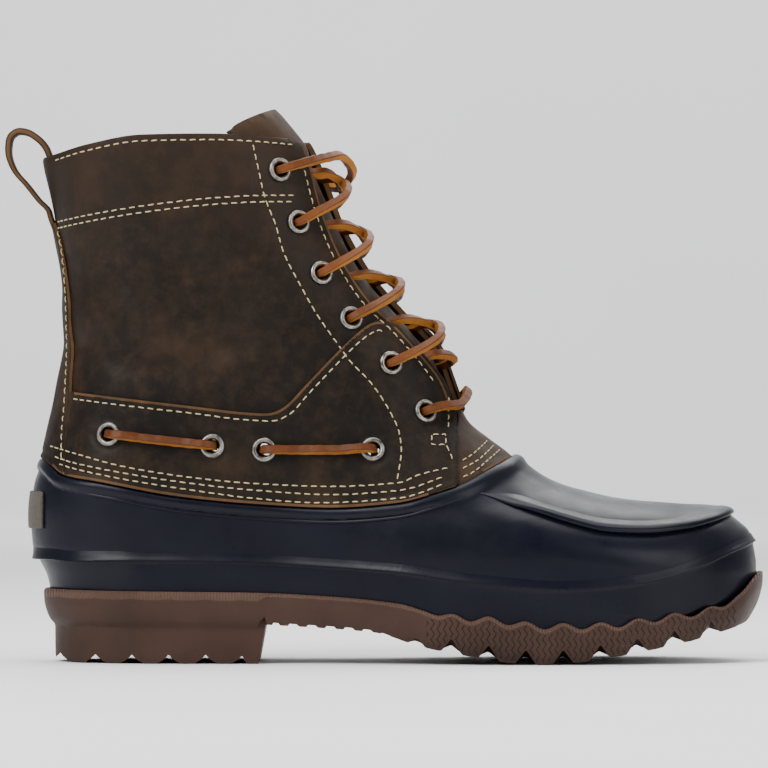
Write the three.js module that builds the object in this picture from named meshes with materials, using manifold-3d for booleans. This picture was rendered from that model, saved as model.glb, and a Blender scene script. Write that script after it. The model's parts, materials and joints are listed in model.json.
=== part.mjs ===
// Duck boot: leather shaft and quarters over a rubber foot on a lugged outsole.
// Millimetres, +Z up, +X to the toe, -Y the outer side of a right boot.
// The origin is on the floor under the middle lug of the heel.
import * as THREE from "three";
import { mergeVertices } from "three/addons/utils/BufferGeometryUtils.js";
import Module from "manifold-3d";

const wasm = await Module();
wasm.setup();

// Driving dimensions
const soleLength = 295; // back of the heel edge to the front of the toe edge
const heelOverhang = 44.7; // origin to the back of the sole
const footHeight = 85; // floor to the top of the rubber at the instep
const collarHeight = 215; // floor to the top of the collar
const ballWidth = 113; // sole edge to sole edge at the ball
const shaftWidth = 82; // side to side at the collar
const toeSwingWidth = 8; // how far the tip of the toe turns inwards
const heelRound = 42; // radius of the back of heel and shaft, seen from above
const instepRound = 60; // how far back the rounding of shaft front and instep reaches
const featherRound = 8; // rounding between the side and the bottom of the foot
const gap = 0.3; // clearance between pieces that meet
const leatherWall = 2.2;
const rubberWall = 3;
const overlayStep = 1.5; // leather of an overlay panel
const vampStep = 0.7; // how far the apron lies below the quarters
const tongueWall = 2.4;
const beadHeight = 4.8; // rolled edge at the top of the rubber
const beadProud = 1.6;
const ridgeHeight = 2.6; // line that runs round the foot above the sole
const ridgeProud = 2.2;
const lipHeight = 4.4; // raised seam round the toe
const lipProud = 2.6;
const lipTurn = 0.905; // where the lip leaves the side and goes round the toe, as a share of the sole
const lipSteps = 9; // stretches of the lip on each side
const soleEdge = 2.6; // sole edge that shows round the rubber
const floorRise = 4; // sole under the insole, above the rounded feather edge
const insoleThickness = 4;
const farEdge = 7.5; // inner side edge of the throat from the middle plane
const lugPitch = 15;
const heelNotchDepth = 3.3;
const heelNotchWidth = 9;
const toeNotchDepth = 4;
const toeNotchWidth = 10;
const ribPitch = 7.5; // small ribs across the waist
const ribDepth = 1.6;
const waveHeight = 1.3; // wave of the sole edge at the forefoot
const heelBlockHeight = 30;
const eyeletRadius = 5;
const eyeletBore = 2.8;
const eyeletBarrel = 3.5;
const eyeletThickness = 1.3;
const laceWidth = 3.2;
const loopWidth = 13.5; // pull loop
const loopThickness = 2;
const loopReach = 13.5;
const loopInside = 1.3; // foot of the loop above the top of the backstay
const loopShare = 1.45; // height of the loop as a share of its foot's depth below the collar
const patchHeight = 15; // bare tag on the back of the rubber

const pointsPerSide = 9; // faces of a form's section from back to front, on each side
const far = 400; // beyond the boot in any direction

// Shares to places: along the sole from its back, and up in two levels,
// 0 to 1 from the floor to footHeight, 1 to 2 from there to collarHeight
const along = (share) => share * soleLength - heelOverhang;
const level = (share) =>
  share <= 1 ? share * footHeight : footHeight + (share - 1) * (collarHeight - footHeight);
const line = (rows) => rows.map(([s, h]) => [along(s), level(h)]);

// Fan of sections from the shaft over the instep to the toe.
// Each runs from a point at the back or bottom to a point at the front or top.
const SECTIONS = [
  // backAlong, backLevel, frontAlong, frontLevel, frontRound as a share of instepRound
  [-0.008, 2.131, 0.301, 2.177, 1.0],
  [-0.002, 1.931, 0.377, 1.962, 1.0],
  [0.008, 1.823, 0.396, 1.862, 1.0],
  [0.02, 1.669, 0.424, 1.708, 1.02],
  [0.031, 1.5, 0.467, 1.546, 1.05],
  [0.032, 1.362, 0.514, 1.423, 1.07],
  [0.023, 1.223, 0.553, 1.319, 1.07],
  [0.011, 1.085, 0.575, 1.192, 1.05],
  [0.0, 0.976, 0.591, 1.108, 1.02],
  [-0.014, 0.847, 0.619, 1.054, 1.0],
  [-0.018, 0.706, 0.646, 1.008, 1.0],
  [-0.016, 0.565, 0.672, 0.947, 1.0],
  [0.004, 0.4, 0.697, 0.888, 1.0],
  [0.012, 0.282, 0.724, 0.847, 1.0],
  [0.036, 0.235, 0.755, 0.818, 1.0],
  [0.101, 0.218, 0.78, 0.797, 0.98],
  [0.219, 0.212, 0.8, 0.785, 0.95],
  [0.355, 0.188, 0.826, 0.774, 0.9],
  [0.474, 0.129, 0.86, 0.765, 0.84],
  [0.575, 0.088, 0.892, 0.756, 0.76],
  [0.677, 0.065, 0.921, 0.748, 0.66],
  [0.762, 0.076, 0.945, 0.724, 0.56],
  [0.84, 0.118, 0.965, 0.676, 0.45],
  [0.901, 0.171, 0.98, 0.629, 0.34],
  [0.948, 0.235, 0.987, 0.576, 0.24],
  [0.992, 0.35, 0.992, 0.482, 0.1],
];
const BOTTOM_ROW = 13; // the first section that starts on the bottom

const PLAN = [
  // along, outer half, inner half, as shares of ballWidth
  [0.0, 0.34, 0.34],
  [0.12, 0.35, 0.345],
  [0.22, 0.363, 0.35],
  [0.31, 0.363, 0.336],
  [0.42, 0.398, 0.319],
  [0.52, 0.455, 0.372],
  [0.62, 0.496, 0.446],
  [0.71, 0.505, 0.485],
];
const toeStart = 0.71; // along: from here the outline rounds to the toe
const outerToeSquareness = 2.3;
const innerToeSquareness = 2.05;

const SHAFT = [
  // level, half width as a share of shaftWidth
  [0.9, 0.47],
  [1.1, 0.455],
  [1.4, 0.45],
  [1.7, 0.475],
  [2.2, 0.505],
];

// Lines of the side view
const COLLAR = line([
  [-0.09, 1.905], [-0.002, 1.928], [0.066, 1.967], [0.14, 1.995],
  [0.24, 1.999], [0.356, 1.985], [0.44, 1.965],
]);
const NEAR_EDGE = line([
  [0.358, 1.983], [0.368, 1.925], [0.384, 1.783], [0.406, 1.649], [0.433, 1.537],
  [0.46, 1.457], [0.49, 1.394], [0.528, 1.298], [0.554, 1.218], [0.569, 1.115],
]);
const VAMP_EDGE = line([
  [0.585, 1.15], [0.573, 1.085], [0.572, 1.012], [0.572, 0.847],
]);
const RUBBER_TOP = line([
  [-0.09, 0.994], [0.0, 0.976], [0.031, 0.898], [0.081, 0.867], [0.187, 0.799],
  [0.293, 0.762], [0.4, 0.744], [0.495, 0.769], [0.533, 0.804], [0.572, 0.847],
  [0.608, 0.909], [0.654, 0.993], [0.72, 1.09],
]);
const TOE_LIP = line([
  [0.605, 0.814], [0.65, 0.774], [0.673, 0.748], [0.707, 0.709], [0.742, 0.674],
  [0.773, 0.649], [0.829, 0.639], [0.884, 0.656], [0.913, 0.679], [0.934, 0.701],
  [0.968, 0.745],
]);
const RIDGE = line([
  [-0.06, 0.57], [-0.024, 0.555], [0.02, 0.5], [0.081, 0.495], [0.187, 0.492],
  [0.293, 0.485], [0.425, 0.459], [0.495, 0.441], [0.574, 0.401], [0.722, 0.362],
  [0.833, 0.395], [0.907, 0.466], [0.947, 0.521], [1.02, 0.625],
]);
const SADDLE_TOP = line([
  [0.036, 1.195], [0.109, 1.175], [0.211, 1.148], [0.279, 1.13], [0.317, 1.125],
  [0.334, 1.141], [0.364, 1.21], [0.41, 1.319], [0.438, 1.379], [0.464, 1.417],
  [0.483, 1.402],
]);
const BACKSTAY_EDGE = line([
  [0.018, 1.73], [0.027, 1.66], [0.037, 1.538], [0.043, 1.438], [0.043, 1.319],
  [0.042, 1.199], [0.038, 1.076], [0.034, 0.86],
]);
const TONGUE_OUTLINE = line([
  [0.233, 1.985], [0.251, 2.002], [0.28, 2.046], [0.327, 2.097], [0.4, 2.16],
  [0.75, 1.6], [0.75, 1.05], [0.5, 1.06], [0.44, 1.3], [0.35, 1.54], [0.27, 1.75],
]);

// Top edge of the sole, as a smooth line; the wave is added in soleSide
const SOLE_TOP = line([
  [-0.01, 0.353], [0.118, 0.347], [0.287, 0.341], [0.389, 0.326], [0.491, 0.292],
  [0.55, 0.238], [0.626, 0.214], [0.694, 0.186], [0.745, 0.186], [0.796, 0.195],
  [0.846, 0.22], [0.897, 0.242], [0.938, 0.275], [0.965, 0.335], [0.992, 0.425],
  [1.02, 0.45],
]);
const SOLE_BOTTOM = line([
  [0.31, 0.188], [0.459, 0.153], [0.523, 0.086], [0.589, 0.041], [0.641, 0.012],
  [0.682, 0.0], [0.702, 0.0], [0.743, 0.014], [0.797, 0.042], [0.848, 0.076],
  [0.895, 0.111], [0.938, 0.152], [0.974, 0.195], [0.991, 0.271], [1.02, 0.39],
]);
// Side wall of the sole: drop below the top edge and inset from it, shares of heelBlockHeight
const SOLE_WALL = [
  [-0.4, 0.0], [0.17, 0.005], [0.3, 0.035], [0.43, 0.1], [0.9, 0.14], [1.06, 0.25],
];

const THROAT_EYELETS = [
  [0.329, 1.887], [0.355, 1.724], [0.386, 1.565], [0.427, 1.423], [0.48, 1.282],
  [0.527, 1.13],
];
const SIDE_EYELETS = [
  [0.096, 1.061], [0.237, 1.025], [0.308, 1.013], [0.457, 1.012],
];

// Middle line of the pull loop, from its end inside the collar over the top and down behind:
// out from the back of the shaft and up from the foot of the loop, as shares of its reach and height
const PULL_LOOP = [
  [-0.26, 0.19], [-0.26, 0.53], [-0.24, 0.69], [-0.12, 0.82], [0.09, 0.91], [0.41, 0.98],
  [0.69, 0.985], [0.89, 0.93], [0.98, 0.825], [1.0, 0.736], [0.91, 0.558], [0.62, 0.37],
  [0.35, 0.2], [0.13, 0.09], [0.1, 0.0],
];

// Smooth curve through rising x values that never overshoots its points
function curve(xs, ys, x) {
  const last = xs.length - 1;
  if (x <= xs[0]) return ys[0];
  if (x >= xs[last]) return ys[last];
  let i = 0;
  while (x > xs[i + 1]) i += 1;
  const slope = (k) => (ys[k + 1] - ys[k]) / (xs[k + 1] - xs[k]);
  const tangent = (k) => {
    if (k === 0) return slope(0);
    if (k === last) return slope(last - 1);
    const [a, b] = [slope(k - 1), slope(k)];
    return a * b <= 0 ? 0 : (2 * a * b) / (a + b);
  };
  const width = xs[i + 1] - xs[i];
  const t = (x - xs[i]) / width;
  const h = t * t * (3 - 2 * t);
  return (
    ys[i] * (1 - h) + ys[i + 1] * h +
    width * (t * (1 - t) * (1 - t) * tangent(i) - t * t * (1 - t) * tangent(i + 1))
  );
}
const through = (points, x) => curve(points.map((p) => p[0]), points.map((p) => p[1]), x);
const smoothstep = (a, b, x) => {
  const t = Math.min(1, Math.max(0, (x - a) / (b - a)));
  return t * t * (3 - 2 * t);
};
// Share of full width at a distance inside an edge that rounds over a radius
const rounded = (distance, radius, power) => {
  const u = Math.min(1, Math.max(0, distance / radius));
  return (1 - (1 - u) ** power) ** (1 / power);
};

// The last: outline of foot and shaft
const backRows = SECTIONS.slice(0, BOTTOM_ROW + 1).reverse();
const backLine = backRows.map((r) => [level(r[1]), along(r[0])]);
const bottomLine = SECTIONS.slice(BOTTOM_ROW).map((r) => [along(r[0]), level(r[1])]);
const formTip = along(SECTIONS.at(-1)[0]);
const centreLine = (x) => toeSwingWidth * smoothstep(along(0.45), along(0.98), x);

// Half width of a foot outline whose toe ends at tip, on side -1 (outer) or 1 (inner)
function footHalf(x, side, inset, tip) {
  const column = side < 0 ? 1 : 2;
  const power = side < 0 ? outerToeSquareness : innerToeSquareness;
  const start = along(toeStart);
  const points = PLAN.map((r) => [along(r[0]), r[column] * ballWidth]);
  const full = through(points, Math.min(x, start)) - inset;
  const u = Math.min(1, Math.max(0, (x - start) / (tip - start)));
  return full * (1 - u ** power) ** (1 / power);
}

// Half width of the boot at a point of its side view
function formHalf(x, z, side, frontDistance, frontRound) {
  const foot = footHalf(x, side, soleEdge, formTip);
  const shaft = through(SHAFT.map((r) => [level(r[0]), r[1] * shaftWidth]), z);
  const upper = smoothstep(level(0.5), level(1.2), z);
  const full = foot * (1 - upper) + shaft * upper;
  const back = rounded(x - through(backLine, z), heelRound, 2);
  const bottom = rounded(z - through(bottomLine, x), featherRound, 2.6);
  const front = rounded(frontDistance, frontRound, 2.25);
  return full * back * bottom * front;
}

// Points of the form as rings: back, outer side, front, inner side
function formRings() {
  return SECTIONS.map(([ba, bl, fa, fl, round], index) => {
    const [bx, bz, fx, fz] = [along(ba), level(bl), along(fa), level(fl)];
    const length = Math.hypot(fx - bx, fz - bz);
    const tip = index === SECTIONS.length - 1;
    const point = (j, side) => {
      const t = 0.5 - 0.5 * Math.cos((Math.PI * j) / pointsPerSide);
      const x = bx + t * (fx - bx);
      const z = bz + t * (fz - bz);
      const end = j === 0 || j === pointsPerSide || tip;
      const half = end ? 0 : formHalf(x, z, side, (1 - t) * length, round * instepRound);
      return new THREE.Vector3(x, centreLine(x) + side * half, z);
    };
    const ring = [];
    for (let j = 0; j <= pointsPerSide; j += 1) ring.push(point(j, -1));
    for (let j = pointsPerSide - 1; j > 0; j -= 1) ring.push(point(j, 1));
    return ring;
  });
}

// Closed surface over rings of equal length; the first and last are capped by strips
function loftGeometry(rings) {
  const around = rings[0].length;
  const positions = rings.flat().flatMap((p) => [p.x, p.y, p.z]);
  const triangles = [];
  const at = (i, j) => i * around + (j % around);
  for (let i = 0; i + 1 < rings.length; i += 1) {
    for (let j = 0; j < around; j += 1) {
      triangles.push(at(i, j), at(i + 1, j), at(i + 1, j + 1));
      triangles.push(at(i, j), at(i + 1, j + 1), at(i, j + 1));
    }
  }
  const cap = (i, turned) => {
    for (let j = 0; j < around / 2; j += 1) {
      const strip = [at(i, j), at(i, j + 1), at(i, around - j - 1), at(i, around - j)];
      const faces = [[0, 1, 2], [0, 2, 3]];
      for (const [a, b, c] of faces) {
        const [second, third] = turned ? [c, b] : [b, c];
        triangles.push(strip[a], strip[second], strip[third]);
      }
    }
  };
  cap(0, false);
  cap(rings.length - 1, true);
  const geometry = new THREE.BufferGeometry();
  geometry.setAttribute("position", new THREE.Float32BufferAttribute(positions, 3));
  geometry.setIndex(triangles);
  return geometry;
}

// The shared points of a geometry, with faces that have no area left out
function welded(geometry) {
  const bare = geometry.clone();
  bare.deleteAttribute("normal");
  bare.deleteAttribute("uv");
  const merged = mergeVertices(bare, 1e-4);
  const index = [];
  const source = merged.index.array;
  for (let i = 0; i < source.length; i += 3) {
    const [a, b, c] = [source[i], source[i + 1], source[i + 2]];
    if (a !== b && b !== c && c !== a) index.push(a, b, c);
  }
  merged.setIndex(index);
  return merged;
}

function toSolid(geometry) {
  const merged = welded(geometry);
  return new wasm.Manifold(
    new wasm.Mesh({
      numProp: 3,
      vertProperties: new Float32Array(merged.attributes.position.array),
      triVerts: new Uint32Array(merged.index.array),
    }),
  );
}

function toGeometry(solid) {
  const mesh = solid.getMesh();
  const geometry = new THREE.BufferGeometry();
  geometry.setAttribute("position", new THREE.BufferAttribute(mesh.vertProperties, 3));
  geometry.setIndex(new THREE.BufferAttribute(mesh.triVerts, 1));
  geometry.computeVertexNormals();
  return geometry;
}

// The form moved out along its own normals by an offset, negative to the inside
const baseRings = formRings();
const baseGeometry = welded(loftGeometry(baseRings));
function offsetGeometry(offset) {
  const side = baseGeometry.clone();
  side.computeVertexNormals();
  const { position, normal } = side.attributes;
  for (let i = 0; i < position.count; i += 1) {
    const onTop = position.getZ(i) > collarHeight + 1;
    const n = new THREE.Vector3().fromBufferAttribute(normal, i);
    if (onTop) n.setZ(0).normalize();
    position.setXYZ(
      i,
      position.getX(i) + n.x * offset,
      position.getY(i) + n.y * offset,
      position.getZ(i) + n.z * offset,
    );
  }
  return side;
}
const skins = new Map();
function skin(offset) {
  if (!skins.has(offset)) skins.set(offset, toSolid(offsetGeometry(offset)));
  return skins.get(offset);
}
const wall = (outer, inner, region) => skin(outer).subtract(skin(inner)).intersect(region);

// Side-view outline drawn through the boot from y0 to y1
function prism(points, y0, y1) {
  const shape = new THREE.Shape(points.map(([x, z]) => new THREE.Vector2(x, z)));
  const geometry = new THREE.ExtrudeGeometry(shape, { depth: y1 - y0, bevelEnabled: false });
  geometry.rotateX(Math.PI / 2);
  geometry.translate(0, y1, 0);
  return toSolid(geometry);
}
const across = (points) => prism(points, -far, far);
const raised = (points, dz) => points.map(([x, z]) => [x, z + dz]);
const shifted = (points, dx) => points.map(([x, z]) => [x + dx, z]);
const band = (points, below, above) =>
  across([...raised(points, above), ...raised(points, below).reverse()]);
const sampled = (points, count) => {
  const [x0, x1] = [points[0][0], points.at(-1)[0]];
  return Array.from({ length: count + 1 }, (_, i) => {
    const x = x0 + ((x1 - x0) * i) / count;
    return [x, through(points, x)];
  });
};

// Meshes and their materials
const finish = (color, roughness, metalness = 0) =>
  new THREE.MeshStandardMaterial({ color, roughness, metalness });
const leather = finish(0x3a2c25, 0.6);
const leatherLight = finish(0x4a3a31, 0.6);
const navyRubber = finish(0x1c1f30, 0.45);
const gumRubber = finish(0x4e382e, 0.6);
const footbed = finish(0x6b5a48, 0.9);
const silver = finish(0xa39d92, 0.35, 1);
const rawhide = finish(0x94532d, 0.7);
const tagCloth = finish(0x6f6256, 0.9);

const boot = new THREE.Group();
function place(name, geometry, material) {
  const mesh = new THREE.Mesh(geometry, material);
  mesh.name = name;
  boot.add(mesh);
  return mesh;
}
const placeSolid = (name, solid, material) => place(name, toGeometry(solid), material);

// Eyelets: where they sit on the form, and what they pass through
const caster = new THREE.Raycaster();
const targets = new Map();
function castOn(offset, origin, direction) {
  if (!targets.has(offset)) {
    const target = new THREE.Mesh(offsetGeometry(offset), new THREE.MeshBasicMaterial());
    target.material.side = THREE.DoubleSide;
    targets.set(offset, target);
  }
  caster.set(origin, direction);
  const [hit] = caster.intersectObject(targets.get(offset));
  return { point: hit.point, normal: hit.face.normal.clone() };
}
const fromSide = (x, z, side, offset) =>
  castOn(offset, new THREE.Vector3(x, side * far, z), new THREE.Vector3(0, -side, 0));
const fromFront = (y, z, offset) =>
  castOn(offset, new THREE.Vector3(far, y, z), new THREE.Vector3(-1, 0, 0));

function eyeletSeats() {
  const seats = [];
  const sides = [[-1, "lateral"], [1, "medial"]];
  for (const [side, word] of sides) {
    line(THROAT_EYELETS).forEach(([x, z], i) => {
      const onSaddle = i > 3;
      seats.push({ name: `eyelet_${word}_${i + 1}`, x, z, side, onSaddle, row: i });
    });
    line(SIDE_EYELETS).forEach(([x, z], i) => {
      seats.push({ name: `side_eyelet_${word}_${i + 1}`, x, z, side, onSaddle: true, row: i });
    });
  }
  for (const seat of seats) {
    seat.lift = seat.onSaddle ? gap + overlayStep : 0;
    Object.assign(seat, fromSide(seat.x, seat.z, seat.side, seat.lift));
  }
  return seats;
}
const seats = eyeletSeats();
const upright = new THREE.Vector3(0, 1, 0);

function ringGeometry(depth) {
  const profile = [
    [eyeletBore, eyeletThickness], [eyeletRadius, 0], [eyeletBarrel, 0], [eyeletBarrel, -depth],
    [eyeletBore, -depth], [eyeletBore, eyeletThickness],
  ];
  const points = profile.map(([r, h]) => new THREE.Vector2(r, h)).reverse();
  return new THREE.LatheGeometry(points, 8);
}

function seated(geometry, seat, lift) {
  const turn = new THREE.Quaternion().setFromUnitVectors(upright, seat.normal);
  return geometry.applyQuaternion(turn).translate(
    seat.point.x + seat.normal.x * lift,
    seat.point.y + seat.normal.y * lift,
    seat.point.z + seat.normal.z * lift,
  );
}
const holeSides = 6;
const holeDepth = (seat) => seat.lift + leatherWall;
function holes() {
  const made = seats.map((seat) => {
    const reach = 2 * (holeDepth(seat) + 3);
    const radius = (eyeletBarrel + gap) / Math.cos(Math.PI / holeSides);
    return toSolid(seated(new THREE.CylinderGeometry(radius, radius, reach, holeSides), seat, 0));
  });
  return wasm.Manifold.union(made);
}
const eyeletHoles = holes();

// Outlines of the leather in the side view
const rubberTop = RUBBER_TOP;
const collarBack = [...COLLAR].reverse();
const behindVamp = [...VAMP_EDGE].reverse();
const rearRubberTop = rubberTop.filter(([x]) => x < VAMP_EDGE.at(-1)[0] - 1);
const frontRubberTop = rubberTop.filter(([x]) => x > VAMP_EDGE.at(-1)[0] + 1);
const nearLeather = [
  ...raised(rearRubberTop, gap / 2), VAMP_EDGE.at(-1), VAMP_EDGE[2],
  ...[...NEAR_EDGE].reverse(), ...collarBack.slice(1),
];
const farLeather = [
  ...raised(rearRubberTop, gap / 2), ...behindVamp, [far, level(1.3)], [far, level(1.965)],
  ...collarBack,
];

function leatherUpper() {
  const region = prism(nearLeather, -far, farEdge + 1).add(prism(farLeather, farEdge, far));
  return wall(0, -leatherWall, region).subtract(eyeletHoles);
}

function vampLeather() {
  const foot = VAMP_EDGE.at(-1);
  const region = across([
    ...shifted(VAMP_EDGE.slice(0, -1), gap), [foot[0] + gap, foot[1] + gap / 2],
    ...raised(frontRubberTop, gap / 2), [along(0.8), level(1.15)],
  ]);
  return wall(-vampStep, -leatherWall, region);
}

// Saddle panels, over the quarters on each side of the backstay
function saddle(side) {
  const rear = shifted(BACKSTAY_EDGE.slice(-3), gap);
  const frontTop = side < 0
    ? [VAMP_EDGE[2], ...[...NEAR_EDGE.slice(6)].reverse()]
    : [...behindVamp.slice(1), [far, level(1.3)], [far, level(1.402)]];
  const outline = [
    [rear.at(-1)[0], through(rubberTop, rear.at(-1)[0]) + gap / 2],
    ...raised(rearRubberTop, gap / 2).filter(([x]) => x > rear.at(-1)[0] + 1),
    VAMP_EDGE.at(-1), ...frontTop, ...[...SADDLE_TOP].reverse().filter(([x]) => x > rear[0][0] + 1),
    [rear[0][0], SADDLE_TOP[0][1]], rear[1],
  ];
  const region = side < 0 ? prism(outline, -far, 0) : prism(outline, farEdge, far);
  return wall(gap + overlayStep, gap, region).subtract(eyeletHoles);
}

function backstay() {
  const edge = BACKSTAY_EDGE.slice(0, -1);
  const foot = BACKSTAY_EDGE.at(-1);
  const region = across([
    [-far, BACKSTAY_EDGE[0][1]], ...edge,
    [foot[0], through(rubberTop, foot[0]) + gap / 2], ...raised(rubberTop.slice(0, 2), gap / 2).reverse(),
    [-far, rubberTop[0][1]],
  ]);
  return wall(gap + overlayStep, gap, region);
}

function tongue() {
  const reach = shaftWidth * 0.36;
  return wall(
    -leatherWall - gap, -leatherWall - gap - tongueWall,
    prism(TONGUE_OUTLINE, -reach, reach),
  );
}

// Floor of the sole under the insole
const floorLine = (rise) =>
  sampled([[along(-0.03), bottomLine[0][1] + floorRise], ...raised(bottomLine.slice(1), floorRise),
    [along(1.02), bottomLine.at(-1)[1] + floorRise]], 12).map(([x, z]) => [x, z + rise]);
const aboveFloor = (rise) => across([...floorLine(rise), [along(1.02), far], [along(-0.03), far]]);

// Raised seam round the toe, a strip with four sides that follows the lip line on the form
function toeLip() {
  const seat = (cast) => {
    const [top, low] = [cast(0), cast(lipHeight)];
    return [[top, lipProud], [top, -rubberWall / 2], [low, -rubberWall / 2], [low, lipProud]].map(
      ([{ point, normal }, out]) => point.clone().addScaledVector(normal, out),
    );
  };
  const turn = along(lipTurn);
  const start = TOE_LIP[0][0];
  const sideSeat = (i, side) => {
    const x = start + ((turn - start) * i) / lipSteps;
    return seat((drop) => fromSide(x, through(TOE_LIP, x) - drop, side, 0));
  };
  const frontHeight = level(0.705);
  const front = [-0.22, -0.12, 0, 0.12, 0.21].map((share) =>
    seat((drop) => fromFront(toeSwingWidth + share * ballWidth, frontHeight - drop, 0)));
  const steps = Array.from({ length: lipSteps + 1 }, (_, i) => i);
  const rings = [
    ...steps.map((i) => sideSeat(i, -1)), ...front, ...[...steps].reverse().map((i) => sideSeat(i, 1)),
  ];
  return toSolid(loftGeometry(rings));
}

function rubberShell() {
  const belowTop = across([...raised(rubberTop, -gap / 2), [far, level(1.1)], [far, -far], [-far, -far],
    [-far, rubberTop[0][1]]]);
  const body = wall(0, -rubberWall, belowTop);
  const bead = wall(beadProud, -rubberWall / 2, band(rubberTop, -gap / 2 - beadHeight, -gap / 2));
  const ridge = wall(ridgeProud, -rubberWall / 2, band(RIDGE, -ridgeHeight / 2, ridgeHeight / 2));
  return body.add(bead).add(ridge).add(toeLip()).intersect(aboveFloor(gap));
}

function insole() {
  const front = formTip - rubberWall * 3;
  const layer = (rise) => [
    ...floorLine(rise).filter(([x]) => x < front), [front, through(floorLine(rise), front)],
  ];
  return skin(-rubberWall - gap).intersect(
    across([...layer(gap), ...layer(gap + insoleThickness).reverse()]),
  );
}

// Outline of the sole at an inset, as stations from heel to toe
function soleStations(inset, drop) {
  const count = 20;
  const back = -heelOverhang + inset;
  const tip = along(1) - inset;
  const point = (i, side) => {
    const u = 0.5 - 0.5 * Math.cos((Math.PI * i) / count);
    const x = back + u * (tip - back);
    const end = i === 0 || i === count;
    const half = end ? 0 : footHalf(x, side, inset, tip) * rounded(x - back, heelRound, 2);
    return new THREE.Vector3(x, centreLine(x) + side * half, through(SOLE_TOP, x) - drop);
  };
  const ring = [];
  for (let i = 0; i <= count; i += 1) ring.push(point(i, -1));
  for (let i = count - 1; i > 0; i -= 1) ring.push(point(i, 1));
  return ring;
}

// Side view of the sole: lugs and ribs below, a wavy edge above
function soleSide() {
  const points = [[-far, 0]];
  const heelFirst = -1.5 * lugPitch;
  const breast = along(0.3);
  for (let c = heelFirst; c + heelNotchWidth / 2 < breast; c += lugPitch) {
    const half = heelNotchWidth / 2;
    points.push([c - half, 0], [c - half * 0.7, heelNotchDepth * 0.75], [c, heelNotchDepth]);
    points.push([c + half * 0.7, heelNotchDepth * 0.75], [c + half, 0]);
  }
  points.push([breast, 0], SOLE_BOTTOM[0]);
  const ribEnd = SOLE_BOTTOM[2][0];
  for (let x = SOLE_BOTTOM[0][0] + ribPitch; x < ribEnd - ribPitch; x += ribPitch) {
    const z = through(SOLE_BOTTOM, x);
    points.push([x - ribPitch * 0.3, z], [x - ribPitch * 0.2, z + ribDepth]);
    points.push([x + ribPitch * 0.2, z + ribDepth], [x + ribPitch * 0.3, z]);
  }
  const flat = (SOLE_BOTTOM[5][0] + SOLE_BOTTOM[6][0]) / 2;
  const toeFirst = flat - 2.5 * lugPitch;
  const toeEnd = along(0.96);
  for (let c = toeFirst; c < toeEnd; c += lugPitch) {
    const half = toeNotchWidth / 2;
    const z = (x) => through(SOLE_BOTTOM, x);
    points.push([c - half, z(c - half)], [c - half * 0.35, z(c) + toeNotchDepth * 0.9]);
    points.push([c + half * 0.35, z(c) + toeNotchDepth * 0.9], [c + half, z(c + half)]);
  }
  points.push(...SOLE_BOTTOM.filter(([x]) => x > toeEnd + lugPitch / 2));
  const steps = 2;
  const waveStart = along(0.55);
  const waveEnd = along(0.94);
  const top = SOLE_TOP.filter(([x]) => x > waveEnd).reverse();
  for (let x = waveEnd; x > waveStart; x -= lugPitch / steps) {
    const wave = waveHeight * Math.cos((2 * Math.PI * (x - flat)) / lugPitch);
    top.push([x, through(SOLE_TOP, x) - wave]);
  }
  top.push(...SOLE_TOP.filter(([x]) => x <= waveStart).reverse(), [-far, SOLE_TOP[0][1]]);
  return [...points, ...top];
}

function outsole() {
  const rings = SOLE_WALL.map(([drop, inset]) =>
    soleStations(inset * heelBlockHeight, drop * heelBlockHeight));
  const cavity = skin(gap).intersect(aboveFloor(0));
  return toSolid(loftGeometry(rings)).intersect(across(soleSide())).subtract(cavity);
}

// Strap of even thickness along a line in the side view
function strap(points, thickness, width) {
  const curveLine = new THREE.CatmullRomCurve3(points.map(([x, z]) => new THREE.Vector3(x, 0, z)));
  const middle = curveLine.getPoints(points.length * 2);
  const edge = (share) => middle.map((p, i) => {
    const before = middle[Math.max(0, i - 1)];
    const after = middle[Math.min(middle.length - 1, i + 1)];
    const length = Math.hypot(after.x - before.x, after.z - before.z);
    const [nx, nz] = [-(after.z - before.z) / length, (after.x - before.x) / length];
    return [p.x + nx * share * thickness, p.z + nz * share * thickness];
  });
  return prism([...edge(0.5), ...edge(-0.5).reverse()], -width / 2, width / 2);
}

function pullLoop() {
  const foot = BACKSTAY_EDGE[0][1] + loopInside;
  const height = loopShare * (level(SECTIONS[1][1]) - foot);
  const points = PULL_LOOP.map(([out, up]) => {
    const z = foot + up * height;
    return [through(backLine, z) - out * loopReach, z];
  });
  return strap(points, loopThickness, loopWidth)
    .subtract(skin(gap).subtract(skin(-leatherWall - gap)).intersect(
      across([[-far, -far], [far, -far], ...[...raised(COLLAR, gap)].reverse(), [-far, level(1.9)]]),
    ));
}

function heelPatch() {
  const middle = level(0.73);
  const edge = along(0.003);
  const region = across([
    [-far, middle - patchHeight / 2], [edge, middle - patchHeight / 2],
    [edge, middle + patchHeight / 2], [-far, middle + patchHeight / 2],
  ]);
  return wall(gap + 1, gap, region);
}

placeSolid("outsole", outsole(), gumRubber);
placeSolid("insole", insole(), footbed);
placeSolid("rubber_shell", rubberShell(), navyRubber);
placeSolid("leather_upper", leatherUpper(), leather);
placeSolid("vamp_leather", vampLeather(), leatherLight);
placeSolid("saddle_lateral", saddle(-1), leather);
placeSolid("saddle_medial", saddle(1), leather);
placeSolid("backstay", backstay(), leather);
placeSolid("tongue", tongue(), leatherLight);
placeSolid("pull_loop", pullLoop(), leather);
placeSolid("heel_patch", heelPatch(), tagCloth);
for (const seat of seats) {
  place(seat.name, seated(ringGeometry(holeDepth(seat)), seat, 2 * gap), silver);
}

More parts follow.
